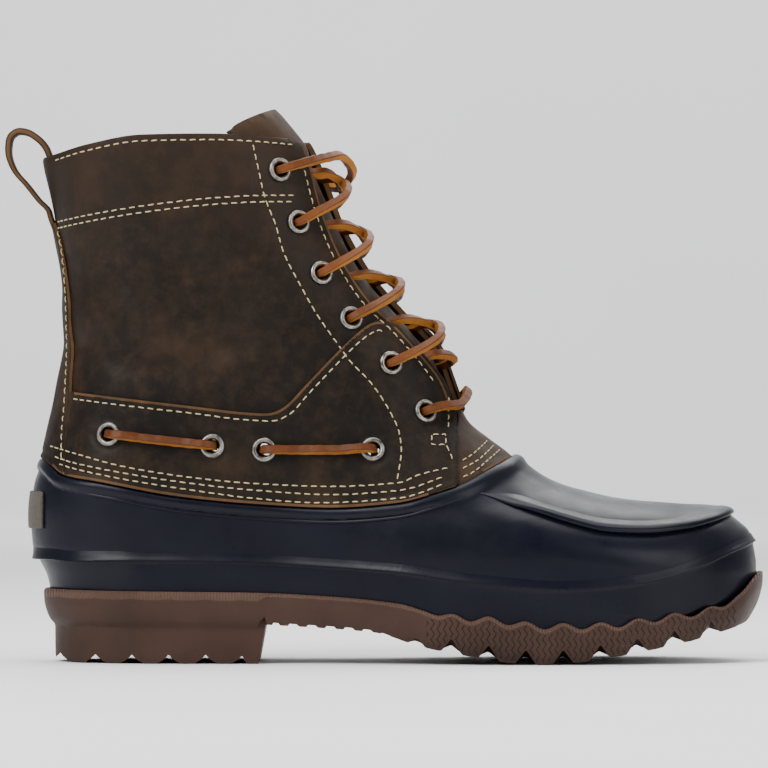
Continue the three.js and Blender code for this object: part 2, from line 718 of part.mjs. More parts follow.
// Laces: square cord over the surface between two places
function cord(points) {
  const half = laceWidth / 2;
  const section = new THREE.Shape([
    new THREE.Vector2(-half, -half), new THREE.Vector2(half, -half),
    new THREE.Vector2(half, half), new THREE.Vector2(-half, half),
  ]);
  const path = new THREE.CatmullRomCurve3(points);
  const settings = { steps: 8, bevelEnabled: false, extrudePath: path };
  return toSolid(new THREE.ExtrudeGeometry(section, settings));
}
const laceLift = gap + laceWidth * 0.9;
const ringClear = eyeletRadius + 2 * gap;
const seatNamed = (name) => seats.find((seat) => seat.name === name);

// Lace over the front of the shaft between two places given by their y and z
function overFront(from, to, lift, arch = 0) {
  const steps = 6;
  return cord(Array.from({ length: steps + 1 }, (_, i) => {
    const [y, z] = [0, 1].map((k) => from[k] + ((to[k] - from[k]) * i) / steps);
    return fromFront(y, z, lift + arch * Math.sin((Math.PI * i) / steps)).point;
  }));
}
// A place beside a ring, on the way to another place
function beside(seat, to) {
  const from = [seat.point.y, seat.point.z];
  const turned = Math.abs(seat.normal.x);
  const length = Math.hypot((to[0] - from[0]) / Math.max(turned, 0.4), to[1] - from[1]);
  return from.map((v, k) => v + ((to[k] - v) * ringClear) / length);
}
const rowHeight = (row) => level(THROAT_EYELETS[row][1]);
const besideFar = farEdge - laceWidth;

// From a ring up to the other edge of the throat, where the lace dives under the leather
function diagonal(word, row) {
  const seat = seatNamed(`eyelet_${word}_${row + 1}`);
  const z = rowHeight(row - 1) - (word === "lateral" ? laceWidth * 0.6 : 0);
  const nearX = through([...NEAR_EDGE].reverse().map(([x, h]) => [h, x]), z);
  const nearY = fromSide(nearX, z, -1, 0).point.y + laceWidth;
  const to = [word === "lateral" ? besideFar : nearY, z];
  const sunk = row === 1 ? gap * 2 : 0;
  return overFront(beside(seat, to), to, laceLift + seat.lift - sunk);
}
function bar(row) {
  const [near, farSide] = ["lateral", "medial"].map((w) => seatNamed(`eyelet_${w}_${row + 1}`));
  const ends = [near, farSide].map((seat, i) => {
    const other = i ? near : farSide;
    return beside(seat, [other.point.y, other.point.z]);
  });
  const top = row === 0;
  const lift = laceLift + near.lift + (top ? -2 * gap : gap);
  return overFront(ends[0], ends[1], lift, top ? laceWidth * 1.7 : 0);
}
function sideBar(word, first) {
  const [a, b] = [first, first + 1].map((n) => seatNamed(`side_eyelet_${word}_${n}`));
  const steps = 4;
  const side = a.side;
  const [x0, x1] = [a.x + ringClear, b.x - ringClear];
  return cord(Array.from({ length: steps + 1 }, (_, i) => {
    const t = i / steps;
    return fromSide(x0 + t * (x1 - x0), a.z + t * (b.z - a.z), side, a.lift + laceLift - 2 * gap).point;
  }));
}

// The lowest stretch, under both edges of the throat
function underEdges(row) {
  const z = rowHeight(row) + laceWidth;
  const nearX = through([...NEAR_EDGE].reverse().map(([x, h]) => [h, x]), z);
  const nearY = fromSide(nearX, z, -1, 0).point.y + laceWidth;
  return overFront([nearY, z], [besideFar, rowHeight(row)], laceLift);
}

const lastRow = THROAT_EYELETS.length - 1;
placeSolid("lace_cross_1", diagonal("lateral", 1), rawhide);
for (let row = 2; row < lastRow; row += 1) {
  placeSolid(`lace_cross_${row}`, diagonal("lateral", row).add(diagonal("medial", row)), rawhide);
}
placeSolid(`lace_cross_${lastRow}`, underEdges(lastRow - 1), rawhide);
placeSolid("lace_bar_top", bar(0), rawhide);
placeSolid("lace_bar_bottom", bar(lastRow), rawhide);
for (const word of ["lateral", "medial"]) {
  placeSolid(`side_lace_${word}_rear`, sideBar(word, 1), rawhide);
  placeSolid(`side_lace_${word}_front`, sideBar(word, 3), rawhide);
}

export default boot;
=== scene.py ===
import json
import math
import random

import bpy
import numpy as np
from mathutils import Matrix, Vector
from mathutils.bvhtree import BVHTree

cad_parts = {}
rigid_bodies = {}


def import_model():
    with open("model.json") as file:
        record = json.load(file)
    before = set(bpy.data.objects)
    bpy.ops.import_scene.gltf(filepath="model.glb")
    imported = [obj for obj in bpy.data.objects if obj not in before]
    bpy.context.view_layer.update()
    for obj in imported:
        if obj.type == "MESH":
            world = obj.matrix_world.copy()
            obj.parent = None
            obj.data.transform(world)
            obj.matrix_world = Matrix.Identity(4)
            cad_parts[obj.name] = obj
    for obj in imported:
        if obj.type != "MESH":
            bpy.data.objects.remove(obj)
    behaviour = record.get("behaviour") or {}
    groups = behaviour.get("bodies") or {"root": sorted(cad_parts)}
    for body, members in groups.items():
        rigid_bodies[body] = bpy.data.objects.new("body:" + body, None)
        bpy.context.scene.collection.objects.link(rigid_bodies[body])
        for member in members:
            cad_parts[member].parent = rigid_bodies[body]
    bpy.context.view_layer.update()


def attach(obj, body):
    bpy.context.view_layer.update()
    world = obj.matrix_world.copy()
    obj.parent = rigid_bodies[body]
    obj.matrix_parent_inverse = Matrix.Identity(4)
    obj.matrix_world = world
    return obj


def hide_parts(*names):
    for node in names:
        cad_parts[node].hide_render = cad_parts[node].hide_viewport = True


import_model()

# Lengths are millimetres until a mesh is made. They repeat the part's own named sizes.
MM = 0.001
SOLE_LENGTH = 295
HEEL_OVERHANG = 44.7
FOOT_HEIGHT = 85
COLLAR_HEIGHT = 215
BALL_WIDTH = 113
SHAFT_WIDTH = 82
TOE_SWING = 8
HEEL_ROUND = 42
INSTEP_ROUND = 60
FEATHER_ROUND = 8
GAP = 0.3
LEATHER_WALL = 2.2
RUBBER_WALL = 3
OVERLAY_STEP = 1.5
VAMP_STEP = 0.7
TONGUE_WALL = 2.4
BEAD_HEIGHT = 4.8
BEAD_PROUD = 1.6
BEAD_EDGE_END = 136.0  # where the step under the bead runs out
LOOP_TUCK = 4.5  # how far the loop's inner end runs on below its foot
SOLE_EDGE = 2.6
FLOOR_RISE = 4
INSOLE_THICKNESS = 4
FAR_EDGE = 7.5
LUG_PITCH = 15
HEEL_NOTCH_DEPTH = 3.3
TOE_NOTCH_DEPTH = 4
TOE_NOTCH_WIDTH = 10
RIB_PITCH = 7.5
RIB_DEPTH = 1.6
RIB_SHARE = 0.6  # the ribs look lower than in the solid
WAVE_HEIGHT = 1.3
HEEL_BLOCK_HEIGHT = 30
EYELET_RADIUS = 5
EYELET_BORE = 2.8
LACE_WIDTH = 3.2
LOOP_WIDTH = 13.5
LOOP_THICKNESS = 2
LOOP_REACH = 13.5
LOOP_INSIDE = 1.3
LOOP_SHARE = 1.45
PATCH_HEIGHT = 15
FAR_AWAY = 400.0  # outside the boot, where rays start

# Metres and millimetres of the lens
CAMERA_PLACE = (0.0947, -3.06, 0.1134)
CAMERA_LENS = 350
CAMERA_REACH = 50


def along(share):
    return np.asarray(share, float) * SOLE_LENGTH - HEEL_OVERHANG


def level(share):
    share = np.asarray(share, float)
    upper = FOOT_HEIGHT + (share - 1) * (COLLAR_HEIGHT - FOOT_HEIGHT)
    return np.where(share <= 1, share * FOOT_HEIGHT, upper)


def line(rows):
    rows = np.array(rows, float)
    return np.stack([along(rows[:, 0]), level(rows[:, 1])], 1)


# Fan of sections: backAlong, backLevel, frontAlong, frontLevel, frontRound
SECTIONS = np.array([
    (-0.008, 2.131, 0.301, 2.177, 1.0),
    (-0.002, 1.931, 0.377, 1.962, 1.0),
    (0.008, 1.823, 0.396, 1.862, 1.0),
    (0.02, 1.669, 0.424, 1.708, 1.02),
    (0.031, 1.5, 0.467, 1.546, 1.05),
    (0.032, 1.362, 0.514, 1.423, 1.07),
    (0.023, 1.223, 0.553, 1.319, 1.07),
    (0.011, 1.085, 0.575, 1.192, 1.05),
    (0.0, 0.976, 0.591, 1.108, 1.02),
    (-0.014, 0.847, 0.619, 1.054, 1.0),
    (-0.018, 0.706, 0.646, 1.008, 1.0),
    (-0.016, 0.565, 0.672, 0.947, 1.0),
    (0.004, 0.4, 0.697, 0.888, 1.0),
    (0.012, 0.282, 0.724, 0.847, 1.0),
    (0.036, 0.235, 0.755, 0.818, 1.0),
    (0.101, 0.218, 0.78, 0.797, 0.98),
    (0.219, 0.212, 0.8, 0.785, 0.95),
    (0.355, 0.188, 0.826, 0.774, 0.9),
    (0.474, 0.129, 0.86, 0.765, 0.84),
    (0.575, 0.088, 0.892, 0.756, 0.76),
    (0.677, 0.065, 0.921, 0.748, 0.66),
    (0.762, 0.076, 0.945, 0.724, 0.56),
    (0.84, 0.118, 0.965, 0.676, 0.45),
    (0.901, 0.171, 0.98, 0.629, 0.34),
    (0.948, 0.235, 0.987, 0.576, 0.24),
    (0.992, 0.35, 0.992, 0.482, 0.1),
])
BOTTOM_ROW = 13
# along, outer half, inner half, as shares of BALL_WIDTH
PLAN = np.array([
    (0.0, 0.34, 0.34), (0.12, 0.35, 0.345), (0.22, 0.363, 0.35), (0.31, 0.363, 0.336),
    (0.42, 0.398, 0.319), (0.52, 0.455, 0.372), (0.62, 0.496, 0.446), (0.71, 0.505, 0.485),
])
TOE_START = 0.71
OUTER_TOE_SQUARENESS = 2.3
INNER_TOE_SQUARENESS = 2.05
# level, half width as a share of SHAFT_WIDTH
SHAFT = np.array([(0.9, 0.47), (1.1, 0.455), (1.4, 0.45), (1.7, 0.475), (2.2, 0.505)])

# Lines of the side view
COLLAR = line([
    (-0.09, 1.905), (-0.002, 1.928), (0.066, 1.967), (0.14, 1.995), (0.24, 1.999),
    (0.356, 1.985), (0.44, 1.965),
])
NEAR_EDGE = line([
    (0.358, 1.983), (0.368, 1.925), (0.384, 1.783), (0.406, 1.649), (0.433, 1.537),
    (0.46, 1.457), (0.49, 1.394), (0.528, 1.298), (0.554, 1.218), (0.569, 1.115),
])
VAMP_EDGE = line([(0.585, 1.15), (0.573, 1.085), (0.572, 1.012), (0.572, 0.847)])
RUBBER_TOP = line([
    (-0.09, 0.994), (0.0, 0.976), (0.031, 0.898), (0.081, 0.867), (0.187, 0.799),
    (0.293, 0.762), (0.4, 0.744), (0.495, 0.769), (0.533, 0.804), (0.572, 0.847),
    (0.608, 0.909), (0.654, 0.993), (0.72, 1.09),
])
TOE_LIP = line([
    (0.605, 0.814), (0.65, 0.774), (0.673, 0.748), (0.707, 0.709), (0.742, 0.674),
    (0.773, 0.649), (0.829, 0.639), (0.884, 0.656), (0.913, 0.679), (0.934, 0.701),
    (0.968, 0.745),
])
RIDGE = line([
    (-0.06, 0.57), (-0.024, 0.555), (0.02, 0.5), (0.081, 0.495), (0.187, 0.492),
    (0.293, 0.485), (0.425, 0.459), (0.495, 0.441), (0.574, 0.401), (0.722, 0.362),
    (0.833, 0.395), (0.907, 0.466), (0.947, 0.521), (1.02, 0.625),
])
SADDLE_TOP = line([
    (0.036, 1.195), (0.109, 1.175), (0.211, 1.148), (0.279, 1.13), (0.317, 1.125),
    (0.334, 1.141), (0.364, 1.21), (0.41, 1.319), (0.438, 1.379), (0.464, 1.417),
    (0.483, 1.402),
])
BACKSTAY_EDGE = line([
    (0.018, 1.73), (0.027, 1.66), (0.037, 1.538), (0.043, 1.438), (0.043, 1.319),
    (0.042, 1.199), (0.038, 1.076), (0.034, 0.86),
])
TONGUE_OUTLINE = line([
    (0.233, 1.985), (0.251, 2.002), (0.28, 2.046), (0.327, 2.097), (0.4, 2.16),
    (0.75, 1.6), (0.75, 1.05), (0.5, 1.06), (0.44, 1.3), (0.35, 1.54), (0.27, 1.75),
])
SOLE_TOP = line([
    (-0.01, 0.353), (0.118, 0.347), (0.287, 0.341), (0.389, 0.326), (0.491, 0.292),
    (0.55, 0.238), (0.626, 0.214), (0.694, 0.186), (0.745, 0.186), (0.796, 0.195),
    (0.846, 0.22), (0.897, 0.242), (0.938, 0.275), (0.965, 0.335), (0.992, 0.425),
    (1.02, 0.45),
])
SOLE_BOTTOM = line([
    (0.31, 0.188), (0.459, 0.153), (0.523, 0.086), (0.589, 0.041), (0.641, 0.012),
    (0.682, 0.0), (0.702, 0.0), (0.743, 0.014), (0.797, 0.042), (0.848, 0.076),
    (0.895, 0.111), (0.938, 0.152), (0.974, 0.195), (0.991, 0.271), (1.02, 0.39),
])
THROAT_EYELETS = line([
    (0.329, 1.887), (0.355, 1.724), (0.386, 1.565), (0.427, 1.423), (0.48, 1.282),
    (0.527, 1.13),
])
SIDE_EYELETS = line([(0.096, 1.061), (0.237, 1.025), (0.308, 1.013), (0.457, 1.012)])
# out from the back of the shaft and up from the foot of the loop
PULL_LOOP = np.array([
    (-0.26, 0.19), (-0.26, 0.53), (-0.24, 0.69), (-0.12, 0.82), (0.09, 0.91), (0.41, 0.98),
    (0.69, 0.985), (0.89, 0.93), (0.98, 0.825), (1.0, 0.736), (0.91, 0.558), (0.62, 0.37),
    (0.35, 0.2), (0.13, 0.09), (0.1, 0.0),
])


# The camera keeps the photograph's view: level, along +Y, the boot filling its width
def add_camera():
    data = bpy.data.cameras.new("camera")
    data.lens = CAMERA_LENS
    data.clip_end = CAMERA_REACH
    camera = bpy.data.objects.new("camera", data)
    camera.location = CAMERA_PLACE
    camera.rotation_euler = (math.radians(90), 0, 0)
    bpy.context.scene.collection.objects.link(camera)
    bpy.context.scene.camera = camera


add_camera()


# Smooth curve through rising xs that never overshoots its points
def curve(xs, ys, x):
    xs, ys, x = (np.asarray(v, float) for v in (xs, ys, x))
    slope = np.diff(ys) / np.diff(xs)
    tangent = np.empty_like(ys)
    tangent[0], tangent[-1] = slope[0], slope[-1]
    product = slope[:-1] * slope[1:]
    total = np.where(np.abs(slope[:-1] + slope[1:]) < 1e-12, 1, slope[:-1] + slope[1:])
    tangent[1:-1] = np.where(product <= 0, 0, 2 * product / total)
    x = np.clip(x, xs[0], xs[-1])
    i = np.clip(np.searchsorted(xs, x, side="right") - 1, 0, len(xs) - 2)
    width = xs[i + 1] - xs[i]
    t = (x - xs[i]) / width
    h = t * t * (3 - 2 * t)
    bend = t * (1 - t) ** 2 * tangent[i] - t * t * (1 - t) * tangent[i + 1]
    return ys[i] * (1 - h) + ys[i + 1] * h + width * bend


def through(points, x):
    return curve(points[:, 0], points[:, 1], x)


def smoothstep(a, b, x):
    t = np.clip((x - a) / (b - a), 0, 1)
    return t * t * (3 - 2 * t)


def rounded(distance, radius, power):
    u = np.clip(distance / radius, 0, 1)
    return (1 - (1 - u) ** power) ** (1 / power)


# The last, as in the part's source, with many more sections
STEPS_PER_SECTION = 12
FACES_PER_SIDE = 150
LINE_STEPS = 40


def dense_sections(steps):
    rows = np.arange(len(SECTIONS))
    s = np.linspace(0, rows[-1], rows[-1] * steps + 1)
    columns = [curve(rows, SECTIONS[:, k], s) for k in range(5)]
    back = np.stack([along(columns[0]), level(columns[1])], 1)
    front = np.stack([along(columns[2]), level(columns[3])], 1)
    return s, back, front, columns[4] * INSTEP_ROUND


_s, _back, _front, _round = dense_sections(LINE_STEPS)
_on_back = _s <= BOTTOM_ROW
BACK_LINE = np.stack([_back[_on_back][::-1, 1], _back[_on_back][::-1, 0]], 1)
BOTTOM_LINE = _back[~_on_back]
FORM_TIP = float(along(SECTIONS[-1, 0]))


def centre_line(x):
    return TOE_SWING * smoothstep(along(0.45), along(0.98), x)


def foot_half(x, side, inset, tip):
    outer = side < 0
    power = np.where(outer, OUTER_TOE_SQUARENESS, INNER_TOE_SQUARENESS)
    start = along(TOE_START)
    at = np.minimum(x, start)
    halves = [curve(along(PLAN[:, 0]), PLAN[:, k] * BALL_WIDTH, at) for k in (1, 2)]
    full = np.where(outer, halves[0], halves[1]) - inset
    u = np.clip((x - start) / (tip - start), 0, 1)
    return full * (1 - u**power) ** (1 / power)


def form_half(x, z, side, front_distance, front_round):
    foot = foot_half(x, side, SOLE_EDGE, FORM_TIP)
    shaft = curve(level(SHAFT[:, 0]), SHAFT[:, 1] * SHAFT_WIDTH, z)
    upper = smoothstep(level(0.5), level(1.2), z)
    full = foot * (1 - upper) + shaft * upper
    back = rounded(x - np.interp(z, BACK_LINE[:, 0], BACK_LINE[:, 1]), HEEL_ROUND, 2)
    floor = np.interp(x, BOTTOM_LINE[:, 0], BOTTOM_LINE[:, 1])
    bottom = rounded(z - floor, FEATHER_ROUND, 2.6)
    front = rounded(front_distance, front_round, 2.25)
    return full * back * bottom * front


def form_grid():
    s, back, front, round_ = dense_sections(STEPS_PER_SECTION)
    length = np.hypot(*(front - back).T)
    u = np.arange(FACES_PER_SIDE + 1) / FACES_PER_SIDE
    t = 0.35 * u + 0.65 * (0.5 - 0.5 * np.cos(np.pi * u))
    middle = back[:, None, :] + t[None, :, None] * (front - back)[:, None, :]
    x, z = middle[..., 0], middle[..., 1]
    sides = []
    for side in (-1, 1):
        reach = (1 - t)[None, :] * length[:, None]
        half = form_half(x, z, np.full_like(x, side), reach, round_[:, None])
        half[:, 0] = half[:, -1] = 0
        half[-1] = 0
        sides.append(np.stack([x, centre_line(x) + side * half, z], -1))
    return np.concatenate([sides[0], sides[1][:, -2:0:-1]], 1)


def grid_normals(grid):
    down = np.gradient(grid, axis=0)
    ring = np.concatenate([grid[:, -1:], grid, grid[:, :1]], 1)
    around = np.gradient(ring, axis=1)[:, 1:-1]
    normal = np.cross(down, around)
    size = np.linalg.norm(normal, axis=-1, keepdims=True)
    normal = np.where(size > 1e-6, normal / np.maximum(size, 1e-9), 0)
    flat = size[..., 0] <= 1e-6
    normal[flat] = (1, 0, 0)
    return normal


GRID = form_grid()
NORMALS = grid_normals(GRID)
ROWS, AROUND = GRID.shape[:2]
POINTS = GRID.reshape(-1, 3)
NORMAL_LIST = NORMALS.reshape(-1, 3)
# Outwards: the sign is the same all over
if np.mean(NORMAL_LIST[:, 1] * np.sign(POINTS[:, 1])) < 0:
    NORMAL_LIST = -NORMAL_LIST


def grid_triangles():
    i, j = np.meshgrid(np.arange(ROWS - 1), np.arange(AROUND), indexing="ij")
    k = (j + 1) % AROUND
    a, b, c, d = i * AROUND + j, (i + 1) * AROUND + j, (i + 1) * AROUND + k, i * AROUND + k
    return np.concatenate([np.stack([a, b, c], -1).reshape(-1, 3), np.stack([a, c, d], -1).reshape(-1, 3)])


TRIANGLES = grid_triangles()
BVH = BVHTree.FromPolygons(POINTS.tolist(), TRIANGLES.tolist())


def on_side(x, z, side):
    """Place on the form seen from one side, and the direction out of it."""
    point, normal, _, _ = BVH.ray_cast(Vector((x, side * FAR_AWAY, z)), Vector((0, -side, 0)))
    if point is None:
        return None
    if normal.y * side < 0:
        normal = -normal
    return point, normal


def on_front(y, z):
    """The same, seen from the toe."""
    point, normal, _, _ = BVH.ray_cast(Vector((FAR_AWAY, y, z)), Vector((-1, 0, 0)))
    if normal.x < 0:
        normal = -normal
    return point, normal


# Signed distance to an outline of the side view, positive inside
def inside(points, outline):
    x, z = points[:, 0], points[:, 1]
    outline = np.asarray(outline, float)
    best = np.full(len(x), 1e9)
    within = np.zeros(len(x), bool)
    for (ax, az), (bx, bz) in zip(outline, np.roll(outline, -1, axis=0)):
        ex, ez = bx - ax, bz - az
        t = np.clip(((x - ax) * ex + (z - az) * ez) / max(ex * ex + ez * ez, 1e-9), 0, 1)
        best = np.minimum(best, np.hypot(x - ax - t * ex, z - az - t * ez))
        crosses = (az > z) != (bz > z)
        at = ax + (z - az) / np.where(abs(ez) < 1e-9, 1e-9, ez) * ex
        within ^= crosses & (x < at)
    return np.where(within, best, -best)


def smooth_line(points, step=2.0):
    """The same line with rounded corners, as points a step apart."""
    points = np.asarray(points, float)
    s = np.concatenate([[0], np.cumsum(np.hypot(*np.diff(points, axis=0).T))])
    at = np.linspace(0, s[-1], max(2, int(s[-1] / step) + 1))
    return np.stack([curve(s, points[:, 0], at), curve(s, points[:, 1], at)], 1)


def raised(points, dz):
    return points + np.array([0, dz])


def shifted(points, dx):
    return points + np.array([dx, 0])


# Meshes
def make_object(name, points, faces, materials, face_material=None, sharp=40):
    """A mesh object in metres from points in millimetres."""
    mesh = bpy.data.meshes.new(name)
    mesh.from_pydata((np.asarray(points, float) * MM).tolist(), [], [list(f) for f in faces])
    mesh.update()
    for material in materials:
        mesh.materials.append(material)
    if face_material is not None:
        mesh.polygons.foreach_set("material_index", np.asarray(face_material, np.int32))
    mesh.shade_smooth()
    mesh.set_sharp_from_angle(angle=math.radians(sharp))
    made = bpy.data.objects.new(name, mesh)
    bpy.context.scene.collection.objects.link(made)
    return made


def settle(made, slot_name, *nodes):
    """The piece rides on the boot and stands for its nodes, which it hides. The slot name is not used."""
    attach(made, "root")
    if nodes:
        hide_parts(*nodes)
    return made


def clipped(value):
    """The part of the form's grid where value is above 0, cut along value 0.
    Gives where each point comes from (two grid points and a share) and the triangles."""
    sign = value > 0
    tri = TRIANGLES[sign[TRIANGLES].any(1)]
    count = sign[tri].sum(1)
    whole = tri[count == 3]
    out = [whole]

    def cut(a, b):
        low, high = np.minimum(a, b), np.maximum(a, b)
        return low.astype(np.int64) * len(value) + high

    pieces = []
    for n in (1, 2):
        some = tri[count == n]
        if not len(some):
            continue
        odd = sign[some] if n == 1 else ~sign[some]
        first = odd.argmax(1)
        rolled = np.take_along_axis(some, (first[:, None] + np.arange(3)) % 3, 1)
        a, b, c = rolled.T
        pieces.append((n, a, b, c, cut(a, b), cut(a, c)))
    keys = np.unique(np.concatenate([np.concatenate([p[4], p[5]]) for p in pieces]))
    low, high = keys // len(value), keys % len(value)
    share = value[low] / (value[low] - value[high])
    base = len(value)
    for n, a, b, c, ab, ac in pieces:
        pab, pac = base + np.searchsorted(keys, ab), base + np.searchsorted(keys, ac)
        if n == 1:
            out.append(np.stack([a, pab, pac], 1))
        else:
            out.append(np.stack([pab, b, c], 1))
            out.append(np.stack([pab, c, pac], 1))
    tri = np.concatenate(out)
    used, index = np.unique(tri, return_inverse=True)
    tri = index.reshape(-1, 3)
    is_cut = used >= base
    at = np.where(is_cut, used - base, 0)
    a = np.where(is_cut, low[at], used)
    b = np.where(is_cut, high[at], used)
    w = np.where(is_cut, share[at], 0.0)
    return a, b, w, tri


def panel(name, value, outer, inner, materials, edge_round=0.5, sharp=40, rim=1):
    """A closed sheet on the form where value is above 0, from the inner to the outer lift.
    The lifts are numbers or one value for each grid point."""
    a, b, w, tri = clipped(value)

    def of(values):
        values = np.broadcast_to(np.asarray(values, float), (len(value),))
        return values[a] * (1 - w) + values[b] * w

    points = POINTS[a] * (1 - w[:, None]) + POINTS[b] * w[:, None]
    normal = NORMAL_LIST[a] * (1 - w[:, None]) + NORMAL_LIST[b] * w[:, None]
    normal /= np.maximum(np.linalg.norm(normal, axis=1, keepdims=True), 1e-9)
    depth = of(value)
    top, low = of(outer), of(inner)
    fall = 1 - np.clip(depth / max(edge_round, 1e-6), 0, 1)
    top = top - edge_round * 0.6 * (1 - np.sqrt(1 - fall**2)) if edge_round else top
    # the triangles are turned to face outwards
    p0, p1, p2 = (points[tri[:, k]] for k in range(3))
    facing = (np.cross(p1 - p0, p2 - p0) * normal[tri[:, 0]]).sum(1).sum()
    if facing < 0:
        tri = tri[:, ::-1]
    count = len(points)
    sides = np.concatenate([tri[:, [0, 1]], tri[:, [1, 2]], tri[:, [2, 0]]])
    key = sides.min(1).astype(np.int64) * count + sides.max(1)
    unique, where, times = np.unique(key, return_index=True, return_counts=True)
    open_sides = sides[where[times == 1]]
    all_points = np.concatenate([points + normal * top[:, None], points + normal * low[:, None]])
    start, stop = open_sides.T
    walls = np.stack([stop, start, start + count, stop + count], 1)
    faces = [*tri.tolist(), *(tri[:, ::-1] + count).tolist(), *walls.tolist()]
    kinds = np.concatenate([np.zeros(len(tri)), np.full(len(tri), min(2, len(materials) - 1)),
                            np.full(len(walls), min(rim, len(materials) - 1))])
    return make_object(name, all_points, faces, materials, kinds, sharp)


# Materials
def principled(name, color, roughness, metallic=0.0, coat=0.0, sheen=0.0, specular=0.5):
    material = bpy.data.materials.new(name)
    material.use_nodes = True
    tree = material.node_tree
    shader = tree.nodes["Principled BSDF"]
    shader.inputs["Base Color"].default_value = (*color, 1)
    shader.inputs["Roughness"].default_value = roughness
    shader.inputs["Metallic"].default_value = metallic
    shader.inputs["Coat Weight"].default_value = coat
    shader.inputs["Specular IOR Level"].default_value = specular
    shader.inputs["Coat Roughness"].default_value = 0.3
    shader.inputs["Sheen Weight"].default_value = sheen
    return material, tree, shader


def node(tree, kind, values=None, **settings):
    made = tree.nodes.new(kind)
    for key, value in settings.items():
        setattr(made, key, value)
    for key, value in (values or {}).items():
        made.inputs[key].default_value = value
    return made


def noise(tree, scale, detail=4, roughness=0.55, stretch=None):
    place = node(tree, "ShaderNodeTexCoord")
    made = node(tree, "ShaderNodeTexNoise", {"Scale": scale, "Detail": detail, "Roughness": roughness})
    if stretch:
        mapping = node(tree, "ShaderNodeMapping", {"Scale": stretch})
        tree.links.new(place.outputs["Object"], mapping.inputs["Vector"])
        tree.links.new(mapping.outputs["Vector"], made.inputs["Vector"])
    else:
        tree.links.new(place.outputs["Object"], made.inputs["Vector"])
    return made.outputs["Fac"]


def cells(tree, scale, feature="DISTANCE_TO_EDGE"):
    place = node(tree, "ShaderNodeTexCoord")
    made = node(tree, "ShaderNodeTexVoronoi", {"Scale": scale}, feature=feature)
    tree.links.new(place.outputs["Object"], made.inputs["Vector"])
    return made.outputs["Distance"]


def ramp(tree, source, stops):
    made = node(tree, "ShaderNodeValToRGB")
    elements = made.color_ramp.elements
    while len(elements) < len(stops):
        elements.new(0.5)
    for element, (position, color) in zip(elements, stops):
        element.position = position
        element.color = (*color, 1) if len(color) == 3 else color
    tree.links.new(source, made.inputs["Fac"])
    return made.outputs["Color"]


def mixed(tree, factor, a, b, blend="MIX"):
    made = node(tree, "ShaderNodeMix", data_type="RGBA", blend_type=blend)
    for socket, value in ((made.inputs[0], factor), (made.inputs[6], a), (made.inputs[7], b)):
        if hasattr(value, "links"):
            tree.links.new(value, socket)
        elif isinstance(value, (int, float)):
            socket.default_value = value
        else:
            socket.default_value = (*value, 1)
    return made.outputs[2]


def bumps(tree, shader, layers):
    """Stacked bumps; each layer is a height, its strength and its depth in millimetres."""
    last = None
    for height, strength, depth in layers:
        bump = node(tree, "ShaderNodeBump", {"Strength": strength, "Distance": depth * MM})
        tree.links.new(height, bump.inputs["Height"])
        if last is not None:
            tree.links.new(last, bump.inputs["Normal"])
        last = bump.outputs["Normal"]
    tree.links.new(last, shader.inputs["Normal"])


def greys(start, stop, low=0.0, high=1.0):
    """Stops of a grey ramp that runs from one height to another."""
    return [(start, (low,) * 3), (stop, (high,) * 3)]


def height(tree):
    """Height above the floor in metres, made a little uneven."""
    apart = place_parts(tree)
    waver = node(tree, "ShaderNodeMath", {1: 0.02}, operation="MULTIPLY")
    tree.links.new(noise(tree, 30, 4), waver.inputs[0])
    total = node(tree, "ShaderNodeMath", operation="ADD")
    tree.links.new(apart["Z"], total.inputs[0])
    tree.links.new(waver.outputs[0], total.inputs[1])
    return total.outputs[0]


def collar_share(tree):
    """0 at the ankle, 1 at the collar."""
    made = node(tree, "ShaderNodeMapRange", {"From Min": 0.17, "From Max": 0.228})
    tree.links.new(height(tree), made.inputs["Value"])
    return made.outputs["Result"]


def leather(name, dark, light, warm, roughness=0.5, coat=0.04, high=None):
    material, tree, shader = principled(name, dark, roughness, coat=coat, specular=0.09)
    broad = ramp(tree, noise(tree, 14, 3), [(0.35, dark), (0.7, light)])
    mottled = ramp(tree, noise(tree, 160, 5, 0.7), greys(0.45, 0.75))
    patches = ramp(tree, noise(tree, 26, 6, 0.62), greys(0.5, 0.72))
    broad = mixed(tree, mixed(tree, 0.45, (0, 0, 0), patches), broad, warm)
    color = mixed(tree, 0.3, broad, mixed(tree, mottled, broad, warm))
    scuffs = ramp(tree, noise(tree, 60, 6, 0.75, (1, 1, 2.5)), greys(0.62, 0.74))
    color = mixed(tree, mixed(tree, 0.75, scuffs, (0, 0, 0)), color, warm)
    if high:
        color = mixed(tree, collar_share(tree), color, mixed(tree, 0.6, color, high))
    tree.links.new(color, shader.inputs["Base Color"])
    shine = ramp(tree, noise(tree, 45, 5, 0.6), greys(0.3, 0.75, roughness - 0.1, roughness + 0.14))
    tree.links.new(shine, shader.inputs["Roughness"])
    bumps(tree, shader, [(cells(tree, 900), 0.35, 0.18), (noise(tree, 420, 5, 0.65), 0.4, 0.3),
                         (noise(tree, 70, 4), 0.35, 0.8)])
    return material


def repeated(tree, value, size):
    """Runs between 0 and 1 and back each time that the value grows by two sizes."""
    made = node(tree, "ShaderNodeMath", {1: size}, operation="PINGPONG")
    tree.links.new(value, made.inputs[0])
    share = node(tree, "ShaderNodeMath", {1: 1 / size}, operation="MULTIPLY")
    tree.links.new(made.outputs[0], share.inputs[0])
    return share.outputs[0]


def place_parts(tree):
    apart = node(tree, "ShaderNodeSeparateXYZ")
    tree.links.new(node(tree, "ShaderNodeTexCoord").outputs["Object"], apart.inputs["Vector"])
    return apart.outputs


RIB_SIZE = 0.00062
SIPE_SIZE = 0.00125
SIPE_BEND = 0.0014
SIPE_BEND_SIZE = 0.0021


